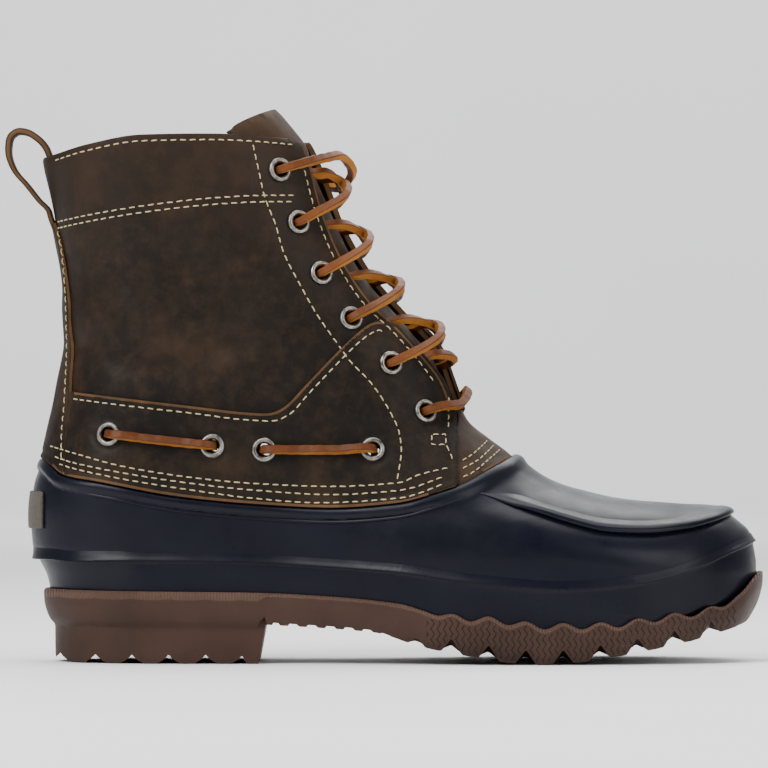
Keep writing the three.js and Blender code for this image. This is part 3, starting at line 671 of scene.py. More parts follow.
def ribs(tree):
    """Small upright ribs, as a layer of bumps: height, strength and depth."""
    return repeated(tree, place_parts(tree)["X"], RIB_SIZE), 0.9, 0.45


def sipes(tree):
    """Fine upright grooves that run in a zigzag, as a layer of bumps."""
    apart = place_parts(tree)
    bend = node(tree, "ShaderNodeMath", {1: SIPE_BEND}, operation="MULTIPLY")
    tree.links.new(repeated(tree, apart["Z"], SIPE_BEND_SIZE), bend.inputs[0])
    place = node(tree, "ShaderNodeMath", operation="ADD")
    tree.links.new(apart["X"], place.inputs[0])
    tree.links.new(bend.outputs[0], place.inputs[1])
    cut = ramp(tree, repeated(tree, place.outputs[0], SIPE_SIZE), greys(0.0, 0.22))
    return cut, 1.0, 0.6


def rubber(name, color, light, roughness, grain=500, coat=0.0, specular=0.5, grooves=None):
    material, tree, shader = principled(name, color, roughness, coat=coat, specular=specular)
    tint = ramp(tree, noise(tree, 25, 4), [(0.35, color), (0.75, light)])
    dust = ramp(tree, noise(tree, 90, 7, 0.8), greys(0.62, 0.8, 0.0, 0.5))
    paler = tuple(min(1, v * 2.2 + 0.01) for v in light)
    tree.links.new(mixed(tree, dust, tint, paler), shader.inputs["Base Color"])
    shine = ramp(tree, noise(tree, 55, 6, 0.7), greys(0.3, 0.75, roughness - 0.07, roughness + 0.13))
    tree.links.new(shine, shader.inputs["Roughness"])
    layers = [(noise(tree, grain, 4, 0.6), 0.25, 0.15), (noise(tree, 40, 4), 0.2, 0.6)]
    bumps(tree, shader, layers + ([grooves(tree)] if grooves else []))
    return material


def cloth(name, color, light, scale=900):
    material, tree, shader = principled(name, color, 0.9, sheen=0.05)
    weave = ramp(tree, noise(tree, scale, 3, 0.6), greys(0.3, 0.7))
    tree.links.new(mixed(tree, weave, color, light), shader.inputs["Base Color"])
    bumps(tree, shader, [(weave, 0.5, 0.3), (noise(tree, 300, 3), 0.3, 0.3)])
    return material


def metal(name, color):
    material, tree, shader = principled(name, color, 0.32, metallic=1.0)
    dark = tuple(v * 0.35 for v in color)
    tarnish = ramp(tree, noise(tree, 350, 6, 0.7), [(0.38, dark), (0.62, color)])
    tree.links.new(tarnish, shader.inputs["Base Color"])
    shine = ramp(tree, noise(tree, 260, 4), greys(0.3, 0.7, 0.22, 0.5))
    tree.links.new(shine, shader.inputs["Roughness"])
    bumps(tree, shader, [(noise(tree, 700, 4), 0.3, 0.12)])
    return material


DARK_LEATHER = leather("dark_leather", (0.0058, 0.0046, 0.0034), (0.0145, 0.0095, 0.0064),
                       (0.056, 0.03, 0.015), 0.56, high=(0.03, 0.0185, 0.012))
BROWN_LEATHER = leather("brown_leather", (0.019, 0.0115, 0.0072), (0.038, 0.0225, 0.013),
                        (0.082, 0.046, 0.023), 0.6)
LINING = leather("lining_leather", (0.07, 0.05, 0.035), (0.10, 0.07, 0.05), (0.14, 0.1, 0.07), 0.7, 0.0)
RAW_EDGE = leather("raw_edge", (0.058, 0.03, 0.014), (0.108, 0.057, 0.026), (0.17, 0.096, 0.046), 0.8, 0.0)
NAVY = rubber("navy_rubber", (0.0016, 0.0018, 0.0056), (0.0027, 0.003, 0.0096), 0.33, specular=0.19)
GUM_COLORS = (0.03, 0.0152, 0.0105), (0.051, 0.0258, 0.0175)
GUM = rubber("gum_rubber", *GUM_COLORS, 0.5, specular=0.17)
GUM_SIPED = rubber("gum_siped", *GUM_COLORS, 0.5, specular=0.17, grooves=sipes)
GUM_EDGE = rubber("gum_edge", (0.06, 0.031, 0.021), (0.092, 0.05, 0.034), 0.55, specular=0.22, grooves=ribs)
TAG = cloth("tag_cloth", (0.036, 0.029, 0.021), (0.068, 0.055, 0.041))
FOOTBED = cloth("footbed_cloth", (0.14, 0.11, 0.08), (0.2, 0.16, 0.12), 500)
SILVER = metal("antique_silver", (0.3, 0.285, 0.255))
RAWHIDE = leather("rawhide", (0.068, 0.02, 0.0055), (0.125, 0.037, 0.01), (0.22, 0.078, 0.02), 0.45, 0.08)
RAWHIDE_CUT = leather("rawhide_cut", (0.22, 0.078, 0.013), (0.36, 0.14, 0.025), (0.46, 0.21, 0.045), 0.7, 0.0)
THREAD = cloth("thread", (0.36, 0.285, 0.14), (0.56, 0.46, 0.25), 2400)
SHEET = [DARK_LEATHER, RAW_EDGE, LINING]
BROWN_SHEET = [BROWN_LEATHER, RAW_EDGE, LINING]


# Soft creases and swells of the leather: x and z where each starts and ends, half width, and depth,
# which is below 0 for a trough
CREASES = [
    (-30, 128, 8, 121, 7.0, -1.0),
    (-34, 143, 4, 139, 8.0, 0.7),
    (4, 122, 40, 132, 7.0, -1.1),
    (10, 140, 50, 152, 8.0, 0.8),
    (30, 118, 62, 138, 6.0, 0.7),
    (44, 108, 72, 128, 5.5, -1.0),
    (-28, 160, 22, 166, 10.0, -0.7),
    (14, 172, 56, 168, 9.0, 0.6),
    (70, 100, 92, 104, 5.0, -0.8),
    (-38, 104, -6, 98, 6.0, -0.6),
    (2, 106, 34, 101, 7.0, 0.6),
    (-10, 190, 40, 196, 7.0, 0.4),
]


def swell(points):
    """How far the leather stands out at each point, from its creases and a slow unevenness."""
    x, y, z = points.T
    total = np.zeros(len(x))
    for x0, z0, x1, z1, width, depth in CREASES:
        ex, ez = x1 - x0, z1 - z0
        t = ((x - x0) * ex + (z - z0) * ez) / (ex * ex + ez * ez)
        sideways = np.hypot(x - x0 - np.clip(t, 0, 1) * ex, z - z0 - np.clip(t, 0, 1) * ez)
        bend = 1.5 * np.sin(t * 5 + x0)
        past_end = np.clip(np.abs(t - 0.5) - 0.4, 0, 9)
        total += depth * np.exp(-(((sideways + bend) / width) ** 2)) * np.exp(-past_end * 3)
    slow = np.sin(x / 17 + z / 31 + y / 23) * np.sin(z / 13 - y / 19 + 1.3)
    total += 0.3 * slow + 0.14 * np.sin(x / 7 - z / 9) * np.sin(z / 6 + x / 11 + y / 8)
    return total


X, Y, Z = POINTS.T
FLAT_VIEW = POINTS[:, [0, 2]]
SWELL = swell(POINTS) * smoothstep(60, 100, Z) * (1 - 0.6 * smoothstep(190, 212, Z))
VAMP_FOOT = VAMP_EDGE[-1]
REAR_TOP = RUBBER_TOP[RUBBER_TOP[:, 0] < VAMP_FOOT[0] - 1]
FRONT_TOP = RUBBER_TOP[RUBBER_TOP[:, 0] > VAMP_FOOT[0] + 1]
REAR_SMOOTH = smooth_line(REAR_TOP)
COLLAR_SMOOTH = smooth_line(COLLAR)
NEAR_SMOOTH = smooth_line(NEAR_EDGE)
SADDLE_SMOOTH = smooth_line(SADDLE_TOP, 1.5)
HALF_GAP = GAP / 2


def throat_split(near, far_side):
    """One value for both quarters; the inner one ends at the inner edge of the throat."""
    inner = Y >= FAR_EDGE
    edge = np.where(X > 0, np.minimum(far_side, Y - FAR_EDGE), far_side)
    return np.where(inner, edge, near)


# Rings: where they sit on the form, and the holes that they fill
HOLE_REACH = 12.0


def ring_seats():
    seats = []
    for side, word in ((-1, "lateral"), (1, "medial")):
        rows = [(f"eyelet_{word}_{i + 1}", x, z) for i, (x, z) in enumerate(THROAT_EYELETS)]
        rows += [(f"side_eyelet_{word}_{i + 1}", x, z) for i, (x, z) in enumerate(SIDE_EYELETS)]
        for name, x, z in rows:
            point, normal = on_side(x, z, side)
            seats.append({"name": name, "x": x, "z": z, "side": side, "point": point, "normal": normal})
    return seats


def hole_value():
    value = np.full(len(POINTS), 1e9)
    for seat in SEATS:
        centre, normal = np.array(seat["point"]), np.array(seat["normal"])
        offset = POINTS - centre
        near = (offset**2).sum(1) < HOLE_REACH**2
        flat = offset[near] - (offset[near] @ normal)[:, None] * normal
        value[near] = np.minimum(value[near], np.linalg.norm(flat, axis=1) - EYELET_BORE - 0.5)
    return value


SEATS = ring_seats()
HOLES = hole_value()


def leather_value():
    near = np.concatenate([raised(REAR_SMOOTH, HALF_GAP), VAMP_EDGE[[3, 2]],
                           NEAR_SMOOTH[::-1], COLLAR_SMOOTH[::-1][8:]])
    far_side = np.concatenate([raised(REAR_SMOOTH, HALF_GAP), VAMP_EDGE[::-1],
                               [[FAR_AWAY, level(1.3)], [FAR_AWAY, level(1.965)]], COLLAR_SMOOTH[::-1]])
    return throat_split(inside(FLAT_VIEW, near), inside(FLAT_VIEW, far_side))


LEATHER = np.minimum(leather_value(), HOLES)
panel_upper = panel("leather_upper_visual", LEATHER, SWELL, SWELL - LEATHER_WALL,
                    SHEET, 0.6)
settle(panel_upper, "leather", "leather_upper")


def saddle_value(side):
    rear = shifted(BACKSTAY_EDGE[-3:], GAP)
    if side < 0:
        front = np.concatenate([VAMP_EDGE[2:3], smooth_line(NEAR_EDGE[6:])[::-1]])
    else:
        front = np.concatenate([VAMP_EDGE[::-1][1:], [[FAR_AWAY, level(1.3)], [FAR_AWAY, level(1.402)]]])
    lower = raised(REAR_SMOOTH, HALF_GAP)
    top = SADDLE_SMOOTH[::-1]
    outline = np.concatenate([
        [[rear[-1, 0], through(RUBBER_TOP, rear[-1, 0]) + HALF_GAP]],
        lower[lower[:, 0] > rear[-1, 0] + 1], VAMP_EDGE[3:], front,
        top[top[:, 0] > rear[0, 0] + 1], [[rear[0, 0], SADDLE_TOP[0, 1]]], rear[1:2],
    ])
    value = inside(FLAT_VIEW, outline)
    if side < 0:
        return np.where(Y < 0, value, -1.0)
    return np.where(Y > 0, np.where(X > 0, np.minimum(value, Y - FAR_EDGE), value), -1.0)


for side, word in ((-1, "lateral"), (1, "medial")):
    value = np.minimum(saddle_value(side), HOLES)
    # the panel is pulled down along its stitched edges
    pulled = -0.35 * np.exp(-(((value - 2.8) / 1.4) ** 2))
    made = panel(f"saddle_{word}_visual", value, SWELL + GAP + OVERLAY_STEP + pulled, SWELL + GAP,
                 SHEET, 0.5)
    settle(made, "leather", f"saddle_{word}")


def backstay_value():
    edge = smooth_line(BACKSTAY_EDGE[:-1])
    foot = BACKSTAY_EDGE[-1]
    outline = np.concatenate([
        [[-FAR_AWAY, BACKSTAY_EDGE[0, 1]]], edge, [[foot[0], through(RUBBER_TOP, foot[0]) + HALF_GAP]],
        raised(RUBBER_TOP[:2], HALF_GAP)[::-1], [[-FAR_AWAY, RUBBER_TOP[0, 1]]],
    ])
    return inside(FLAT_VIEW, outline)


BACKSTAY = backstay_value()
pulled = -0.3 * np.exp(-(((BACKSTAY - 2.4) / 1.2) ** 2))
made = panel("backstay_visual", BACKSTAY, SWELL + GAP + OVERLAY_STEP + pulled, SWELL + GAP,
             SHEET, 0.5)
settle(made, "leather", "backstay")


def vamp_value():
    outline = np.concatenate([
        shifted(VAMP_EDGE[:-1], GAP), [[VAMP_FOOT[0] + GAP, VAMP_FOOT[1] + HALF_GAP]],
        raised(FRONT_TOP, HALF_GAP), [[along(0.8), level(1.15)]],
    ])
    return inside(FLAT_VIEW, outline)


made = panel("vamp_leather_visual", vamp_value(), 0.4 * SWELL - VAMP_STEP, -LEATHER_WALL,
             BROWN_SHEET, 0.4)
settle(made, "apron", "vamp_leather")

tongue_limit = SHAFT_WIDTH * (0.36 + 0.08 * smoothstep(180, 204, Z))
tongue = np.minimum(inside(FLAT_VIEW, smooth_line(np.concatenate([TONGUE_OUTLINE, TONGUE_OUTLINE[:1]]), 1.5)),
                    tongue_limit - np.abs(Y))
tongue = np.where(X > 0, tongue, -1.0)
sunk = 2.0 - 1.8 * smoothstep(202, 214, Z)
ripple = 0.5 * np.sin(Z / 5.5 + np.abs(Y) / 9) * smoothstep(80, 120, Z) * (1 - smoothstep(195, 215, Z))
tongue_top = ripple * 0.6 - LEATHER_WALL - GAP - sunk
made = panel("tongue_visual", tongue, tongue_top, tongue_top - TONGUE_WALL, BROWN_SHEET, 0.8)
settle(made, "tongue", "tongue")


# The rubber foot
def beside_line(points_2d, row):
    """Signed height of each point above a line of the side view, at right angles to it."""
    dense = smooth_line(row, 1.0)
    best = np.full(len(points_2d), 1e9)
    for (ax, az), (bx, bz) in zip(dense[:-1], dense[1:]):
        ex, ez = bx - ax, bz - az
        t = np.clip(((points_2d[:, 0] - ax) * ex + (points_2d[:, 1] - az) * ez) / (ex * ex + ez * ez), 0, 1)
        best = np.minimum(best, np.hypot(points_2d[:, 0] - ax - t * ex, points_2d[:, 1] - az - t * ez))
    above = points_2d[:, 1] > curve(row[:, 0], row[:, 1], points_2d[:, 0])
    return np.where(above, best, -best)


def hump(distance, half):
    return np.sqrt(np.clip(1 - (distance / half) ** 2, 0, 1))


def shell_lift():
    below = -beside_line(FLAT_VIEW, RUBBER_TOP)
    lift = np.where((below > -1) & (below < BEAD_HEIGHT),
                    BEAD_PROUD * hump(below - BEAD_HEIGHT / 2, BEAD_HEIGHT / 2 + 0.3), 0)
    ridge = beside_line(FLAT_VIEW, RIDGE)
    lift -= 0.45 * smoothstep(0.0, -0.8, ridge)
    lip = -beside_line(FLAT_VIEW, TOE_LIP)
    lift += 0.5 * smoothstep(-9.0, -2.0, lip) * smoothstep(TOE_LIP[0, 0], TOE_LIP[0, 0] + 20, X) * (lip < 1)
    return lift


def shell_value():
    below = np.concatenate([raised(smooth_line(RUBBER_TOP), -HALF_GAP), [
        [FAR_AWAY, level(1.1)], [FAR_AWAY, -FAR_AWAY], [-FAR_AWAY, -FAR_AWAY],
        [-FAR_AWAY, RUBBER_TOP[0, 1]]]])
    floor = np.interp(X, BOTTOM_LINE[:, 0], BOTTOM_LINE[:, 1]) + FLOOR_RISE + GAP
    return np.minimum(inside(FLAT_VIEW, below), Z - floor)


def eased(values, rounds):
    """Values at the points of the form, each mixed with those beside it."""
    corners = np.asarray(TRIANGLES)
    shares = np.bincount(corners.ravel(), minlength=len(values))
    for _ in range(rounds):
        means = np.repeat(values[corners].mean(1), 3)
        total = np.bincount(corners.ravel(), weights=means, minlength=len(values))
        values = np.where(shares > 0, total / np.maximum(shares, 1), values)
    return values


SHELL_LIFT = shell_lift()
SHELL_LIFT += (eased(SHELL_LIFT, 6) - SHELL_LIFT) * smoothstep(100, 125, X)
uneven = 0.12 * np.sin(X / 13 + Z / 8) * np.sin(Y / 11 + Z / 9)
made = panel("rubber_shell_visual", shell_value(), SHELL_LIFT + uneven, -RUBBER_WALL,
             [NAVY, NAVY, FOOTBED], 0.5, 50)
settle(made, "shell", "rubber_shell")


# The sole
FLAT_MIDDLE = (SOLE_BOTTOM[5, 0] + SOLE_BOTTOM[6, 0]) / 2


def sole_top(x):
    fade = smoothstep(along(0.52), along(0.58), x) * (1 - smoothstep(along(0.92), along(0.97), x))
    return through(SOLE_TOP, x) - WAVE_HEIGHT * np.cos(2 * np.pi * (x - FLAT_MIDDLE) / LUG_PITCH) * fade


def sole_bottom(x, across):
    """Height of the tread; across is 0 in the middle and 1 at the side."""
    breast = float(along(0.3))
    base = np.where(x < breast, 0, through(SOLE_BOTTOM, np.maximum(x, SOLE_BOTTOM[0, 0])))
    base = np.where((x >= breast) & (x < SOLE_BOTTOM[0, 0]),
                    np.interp(x, [breast, SOLE_BOTTOM[0, 0]], [0, SOLE_BOTTOM[0, 1]]), base)
    heel_phase = (x / LUG_PITCH + 0.5) % 1 - 0.5
    heel_gap = np.abs(np.abs(heel_phase) - 0.5) * LUG_PITCH
    lobe = np.clip(1 - heel_gap / (LUG_PITCH / 2), 0, 1) ** 2.4
    heel = HEEL_NOTCH_DEPTH * 1.15 * lobe * smoothstep(breast - 4, breast - 7, x)
    fore_phase = np.abs((x - FLAT_MIDDLE) / LUG_PITCH % 1 - 0.5) * LUG_PITCH
    vee = np.clip(1 - fore_phase / (TOE_NOTCH_WIDTH * 0.42), 0, 1)
    depth = TOE_NOTCH_DEPTH * (0.4 + 0.85 * smoothstep(0.55, 1, across))
    fore = np.minimum(depth * vee * 1.1, depth) + 0.8 * np.clip(1 - fore_phase / (LUG_PITCH / 2), 0, 1) ** 2
    fore = fore * smoothstep(along(0.5), along(0.53), x)
    fore = fore * (1 - smoothstep(along(0.93), along(0.97), x))
    rib_phase = np.abs((x - SOLE_BOTTOM[0, 0]) / RIB_PITCH % 1 - 0.5) * RIB_PITCH
    rib = RIB_DEPTH * smoothstep(RIB_PITCH * 0.3, RIB_PITCH * 0.2, rib_phase)
    rib = rib * (x > SOLE_BOTTOM[0, 0] + 3) * smoothstep(along(0.5), along(0.44), x) * RIB_SHARE
    groove = 1.2 * smoothstep(0.16, 0.1, np.abs(across - 0.45)) * (x > along(0.52)) * (x < along(0.9))
    return base + heel + fore + rib + groove


def sole_wall(drop):
    inset = curve([-0.4, 0.05, 0.17, 0.3, 0.4, 0.46, 0.5, 0.9, 1.06],
                  [0.02, 0.0, 0.005, 0.035, 0.075, 0.12, 0.152, 0.158, 0.2],
                  drop / HEEL_BLOCK_HEIGHT) * HEEL_BLOCK_HEIGHT
    edge = 0.7 * (1 - np.sqrt(np.clip(1 - (1 - np.clip(drop / 0.9, 0, 1)) ** 2, 0, 1)))
    return inset + edge


STATIONS = 620
WALL_LEVELS = 26
ACROSS = 20


def sole_points():
    u = np.linspace(0, 1, STATIONS + 1)
    u = 0.55 * u + 0.45 * (0.5 - 0.5 * np.cos(np.pi * u))
    tip = float(along(1))

    def place(inset, side):
        x = -HEEL_OVERHANG + inset + u * (tip + HEEL_OVERHANG - 2 * inset)
        start = -HEEL_OVERHANG + inset
        half = foot_half(x, np.full_like(x, side), inset, tip - inset) * rounded(x - start, HEEL_ROUND, 2)
        half[0] = half[-1] = 0
        return x, half

    loops = []
    for q in np.linspace(0, 1, WALL_LEVELS + 1):
        parts = []
        for side in (-1, 1):
            x, half = place(0.0, side)
            for _ in range(3):
                z = sole_top(x) - q * (sole_top(x) - sole_bottom(x, 1.0))
                inset = sole_wall(sole_top(x) - z)
                x, half = place(inset, side)
            z = sole_top(x) - q * (sole_top(x) - sole_bottom(x, 1.0))
            parts.append(np.stack([x, centre_line(x) + side * half, z], 1))
        loops.append(parts)
    inner = []
    for inset, down in ((1.2, -0.05), (SOLE_EDGE - 0.35, 0.0), (SOLE_EDGE - 0.3, 4.0)):
        parts = []
        for side in (-1, 1):
            x, half = place(inset, side)
            parts.append(np.stack([x, centre_line(x) + side * half, sole_top(x) - down], 1))
        inner.append(parts)
    parts = []
    for side in (-1, 1):
        x, half = place(SOLE_EDGE - 0.3, side)
        z = np.interp(x, BOTTOM_LINE[:, 0], BOTTOM_LINE[:, 1]) + FLOOR_RISE
        parts.append(np.stack([x, centre_line(x) + side * half, z], 1))
    inner.append(parts)
    return loops, inner


def outsole_visual():
    loops, inner = sole_points()
    rows = inner[::-1] + loops  # from the floor inside, over the edge, down to the tread

    def ring(parts):
        return np.concatenate([parts[0], parts[1][-2:0:-1]])

    rings = np.array([ring(p) for p in rows])
    count, around = rings.shape[:2]
    points = [rings.reshape(-1, 3)]
    faces, kinds = [], []
    for i in range(count - 1):
        j = np.arange(around)
        k = (j + 1) % around
        one, two = i * around, (i + 1) * around
        faces.append(np.stack([one + j, two + j, two + k, one + k], 1))
        drop = (i - len(inner)) / WALL_LEVELS
        siped = (rings[i][:, 0] > along(0.53)) & (rings[i][:, 0] < along(0.96)) & (0.15 < drop < 0.9)
        on_edge = -0.08 < drop < 0.1
        kinds.append(np.full(around, 1) if on_edge else np.where(siped, 2, 0))
    base = count * around

    def lid(ring_index, height, turned):
        """Fills a ring with strips across, whose inner points take their height from a function."""
        nonlocal base
        ring_points = rings[ring_index]
        half = around // 2
        left = ring_index * around + np.arange(half + 1)
        right = ring_index * around + (-np.arange(half + 1)) % around
        a, b = ring_points[: half + 1], ring_points[(-np.arange(half + 1)) % around]
        columns = [left]
        for c in range(1, ACROSS):
            t = c / ACROSS
            middle = a + (b - a) * t
            middle[:, 2] = height(middle[:, 0], np.abs(2 * t - 1), middle[:, 2])
            points.append(middle)
            columns.append(base + np.arange(half + 1))
            base += half + 1
        columns.append(right)
        for one, two in zip(columns[:-1], columns[1:]):
            quad = np.stack([one[:-1], one[1:], two[1:], two[:-1]], 1)
            faces.append(quad[:, ::-1] if turned else quad)
            kinds.append(np.zeros(len(quad)))

    lid(count - 1, lambda x, across, z: sole_bottom(x, across), False)
    lid(0, lambda x, across, z: z, True)
    quads = np.concatenate(faces)
    everything = np.concatenate(points)
    # quads that meet at the heel and toe tips lose their doubled corner
    made_faces, made_kinds = [], []
    for quad, kind in zip(quads.tolist(), np.concatenate(kinds).tolist()):
        corners = list(dict.fromkeys(quad))
        if len(corners) > 2:
            made_faces.append(corners)
            made_kinds.append(int(kind))
    return make_object("outsole_visual", everything, made_faces, [GUM, GUM_EDGE, GUM_SIPED], made_kinds, 35)


settle(outsole_visual(), "outsole", "outsole")


def insole_visual():
    u = np.linspace(0, 1, 121)
    u = 0.5 * u + 0.5 * (0.5 - 0.5 * np.cos(np.pi * u))
    start = -HEEL_OVERHANG + 9.0
    tip = FORM_TIP - 3 * RUBBER_WALL
    x = start + u * (tip - start)
    floor = np.interp(x, BOTTOM_LINE[:, 0], BOTTOM_LINE[:, 1]) + FLOOR_RISE + GAP
    t = np.linspace(-1, 1, 25)
    layers = []
    for inset, rise in ((9.4, 0.1), (7.0, INSOLE_THICKNESS)):
        halves = []
        for side in (-1, 1):
            half = foot_half(x, np.full_like(x, side), inset, tip + 4)
            half = half * rounded(x - start, HEEL_ROUND - inset, 2)
            halves.append(np.maximum(half, 0.4))
        half = np.where(t[None, :] < 0, halves[0][:, None], halves[1][:, None])
        y = centre_line(x)[:, None] + t[None, :] * half
        dish = 0.7 * (t[None, :] ** 2 - 1) * (rise > 1) + 0 * y
        layers.append(np.stack([np.broadcast_to(x[:, None], y.shape), y, floor[:, None] + rise + dish], -1))
    low, high = layers
    n, m = high.shape[:2]
    points = np.concatenate([high.reshape(-1, 3), low.reshape(-1, 3)])
    index = np.arange(n * m).reshape(n, m)
    top = np.stack([index[:-1, :-1], index[1:, :-1], index[1:, 1:], index[:-1, 1:]], -1).reshape(-1, 4)
    border = np.concatenate([index[:, 0], index[-1, 1:], index[-2::-1, -1], index[0, -2:0:-1]])
    after = np.roll(border, -1)
    sides = np.stack([border, border + n * m, after + n * m, after], 1)
    faces = [*top.tolist(), *(top[:, ::-1] + n * m).tolist(), *sides.tolist()]
    return make_object("insole_visual", points, faces, [FOOTBED], None, 50)


settle(insole_visual(), "insole", "insole")


# Seams, rings and cords follow the outermost skin of the finished panels
def skin_tree():
    points, faces, base = [], [], 0
    for made in bpy.context.scene.objects:
        if made.name in SKIN_PIECES:
            mesh = made.data
            flat = np.empty(len(mesh.vertices) * 3)
            mesh.vertices.foreach_get("co", flat)
            points.append(flat.reshape(-1, 3) / MM)
            mesh.calc_loop_triangles()
            tri = np.empty(len(mesh.loop_triangles) * 3, np.int32)
            mesh.loop_triangles.foreach_get("vertices", tri)
            faces.append(tri.reshape(-1, 3) + base)
            base += len(mesh.vertices)
    return BVHTree.FromPolygons(np.concatenate(points).tolist(), np.concatenate(faces).tolist())


SKIN_PIECES = {"leather_upper_visual", "saddle_lateral_visual", "saddle_medial_visual", "backstay_visual",
               "vamp_leather_visual", "rubber_shell_visual"}
SKIN = skin_tree()


def skin_side(x, z, side):
    point, normal, _, _ = SKIN.ray_cast(Vector((x, side * FAR_AWAY, z)), Vector((0, -side, 0)))
    smooth = on_side(x, z, side)
    return (point, smooth[1]) if point is not None and smooth else None


def skin_front(y, z):
    point, _, _, _ = SKIN.ray_cast(Vector((FAR_AWAY, y, z)), Vector((-1, 0, 0)))
    smooth = on_front(y, z)
    return (point, smooth[1]) if point is not None else None


# Stitches: their length, pitch and radius, the sampling of a seam, and the gap between paired rows
STITCH = 2.7
STITCH_PITCH = 3.9
STITCH_RADIUS = 0.27
SEAM_STEP = 0.3
ROW_APART = 2.6
COLLAR_ROW = [(-38.6, 179.6), (-18, 183.2), (4.1, 186.4), (25.8, 188.7), (45.8, 189.8), (60.5, 190.0)]
FACING_ROW = [(41.4, 211.0), (43.7, 200.7), (46.2, 189.6), (50.8, 177.7), (53.7, 167.5), (60.7, 153.5),
              (67.6, 141.4), (76.7, 128.5), (80.8, 122.8), (89.4, 113.8), (97.2, 101.9), (100.9, 93.3),
              (101.7, 86.7), (100.4, 76.9), (99.4, 71.5)]
SADDLE_ROW = [(-32.0, 107.4), (-12.5, 104.9), (17.6, 101.5), (37.7, 99.0), (49.2, 98.4), (55.8, 100.7),
              (64.4, 109.7), (78.3, 124.2), (86.1, 131.6), (90.2, 134.3), (92.7, 135.2), (95.2, 134.0)]
LOW_ROWS = [
    [(-41.5, 88.2), (-32.6, 85.7), (-10.2, 79.9), (16.8, 75.6), (41.8, 73.2), (73.4, 72.0), (101.3, 73.6),
     (108.2, 76.5), (121.4, 79.7)],
    [(-39.5, 83.9), (-32.4, 81.7), (-10.2, 77.3), (16.8, 73.2), (41.8, 70.5), (73.4, 68.7), (101.3, 70.5),
     (120.5, 76.5)],
    [(-37.5, 80.9), (-32.4, 79.4), (-10.2, 74.8), (16.8, 70.5), (41.8, 67.2), (68.1, 65.4), (101.3, 67.4),
     (120.5, 73.6)],
]
VAMP_ROWS = [
    [(126.2, 82.2), (130.4, 84.7), (135.7, 89.2), (138.8, 92.4)],
    [(126.2, 79.0), (132.4, 82.2), (140.6, 89.4)],
    [(126.2, 75.6), (129.6, 76.9), (136.9, 82.4), (143.0, 87.5)],
]
BACKSTAY_ROW = [(-38.6, 176.3), (-36.6, 165.8), (-34.9, 142.1), (-34.7, 126.5), (-35.4, 106.8), (-36.4, 91.2),
                (-36.4, 83.0)]
TACK_ROWS = [[(114.0, 92.9), (119.7, 92.9), (119.7, 88.8), (114.0, 88.8), (114.0, 92.9)],
             [(119.7, 88.8), (121.4, 85.5), (122.6, 82.2)]]
NEAR_ROW = [(x - 2.7, z - 0.6) for x, z in NEAR_EDGE[1:-1]]
VAMP_SEAM = [(121.0, 108.5), (120.8, 101.0), (120.8, 95.5)]


def resampled(places, step):
    """Places on the skin, as pairs of point and normal, a step apart along their own length."""
    points = np.array([p for p, _ in places], float)
    normals = np.array([n for _, n in places], float)
    s = np.concatenate([[0], np.cumsum(np.linalg.norm(np.diff(points, axis=0), axis=1))])
    at = np.arange(0, s[-1], step)
    columns = [np.interp(at, s, points[:, k]) for k in range(3)]
    turned = [np.interp(at, s, normals[:, k]) for k in range(3)]
    return np.stack(columns, 1), np.stack(turned, 1)


EVEN_STEP = 1.2
EVEN_ROUNDS = 10


def side_run(row, side):
    places = [skin_side(x, z, side) for x, z in smooth_line(row, EVEN_STEP)]
    return [p for p in places if p]


def front_run(row):
    places = [skin_front(y, z) for y, z in smooth_line(row, EVEN_STEP)]
    return [p for p in places if p]


def swept(path, normals, profile, scales=None, twist=None):
    """Closed tube: a flat profile (sideways, outwards) carried along a path."""
    path, normals = np.asarray(path, float), np.asarray(normals, float)
    tangent = np.gradient(path, axis=0)
    tangent /= np.maximum(np.linalg.norm(tangent, axis=1, keepdims=True), 1e-9)
    normals = normals - (normals * tangent).sum(1, keepdims=True) * tangent
    normals /= np.maximum(np.linalg.norm(normals, axis=1, keepdims=True), 1e-9)
    sideways = np.cross(tangent, normals)
    profile = np.asarray(profile, float)
    n, m = len(path), len(profile)
    scales = np.ones((n, 2)) if scales is None else np.asarray(scales, float)
    angle = np.zeros(n) if twist is None else np.asarray(twist, float)
    a = profile[None, :, 0] * scales[:, :1]
    b = profile[None, :, 1] * scales[:, 1:]
    cos, sin = np.cos(angle)[:, None], np.sin(angle)[:, None]
    across, out = a * cos - b * sin, a * sin + b * cos
    points = path[:, None] + sideways[:, None] * across[..., None] + normals[:, None] * out[..., None]
    index = np.arange(n * m).reshape(n, m)
    after = np.roll(index, -1, axis=1)
    quads = np.stack([index[:-1], after[:-1], after[1:], index[1:]], -1).reshape(-1, 4)
    return points.reshape(-1, 3), quads.tolist(), [index[0, ::-1].tolist(), index[-1].tolist()]


ROUND = [(math.cos(a) * STITCH_RADIUS, math.sin(a) * STITCH_RADIUS * 0.8)
         for a in np.linspace(0, 2 * math.pi, 7)[:-1]]


def merged(parts):
    """Points and faces of several meshes as one; each part is its points and its faces."""
    points, faces, base = [], [], 0
    for part_points, part_faces in parts:
        points.append(part_points)
        faces.extend([[k + base for k in face] for face in part_faces])
        base += len(part_points)
    return np.concatenate(points), faces


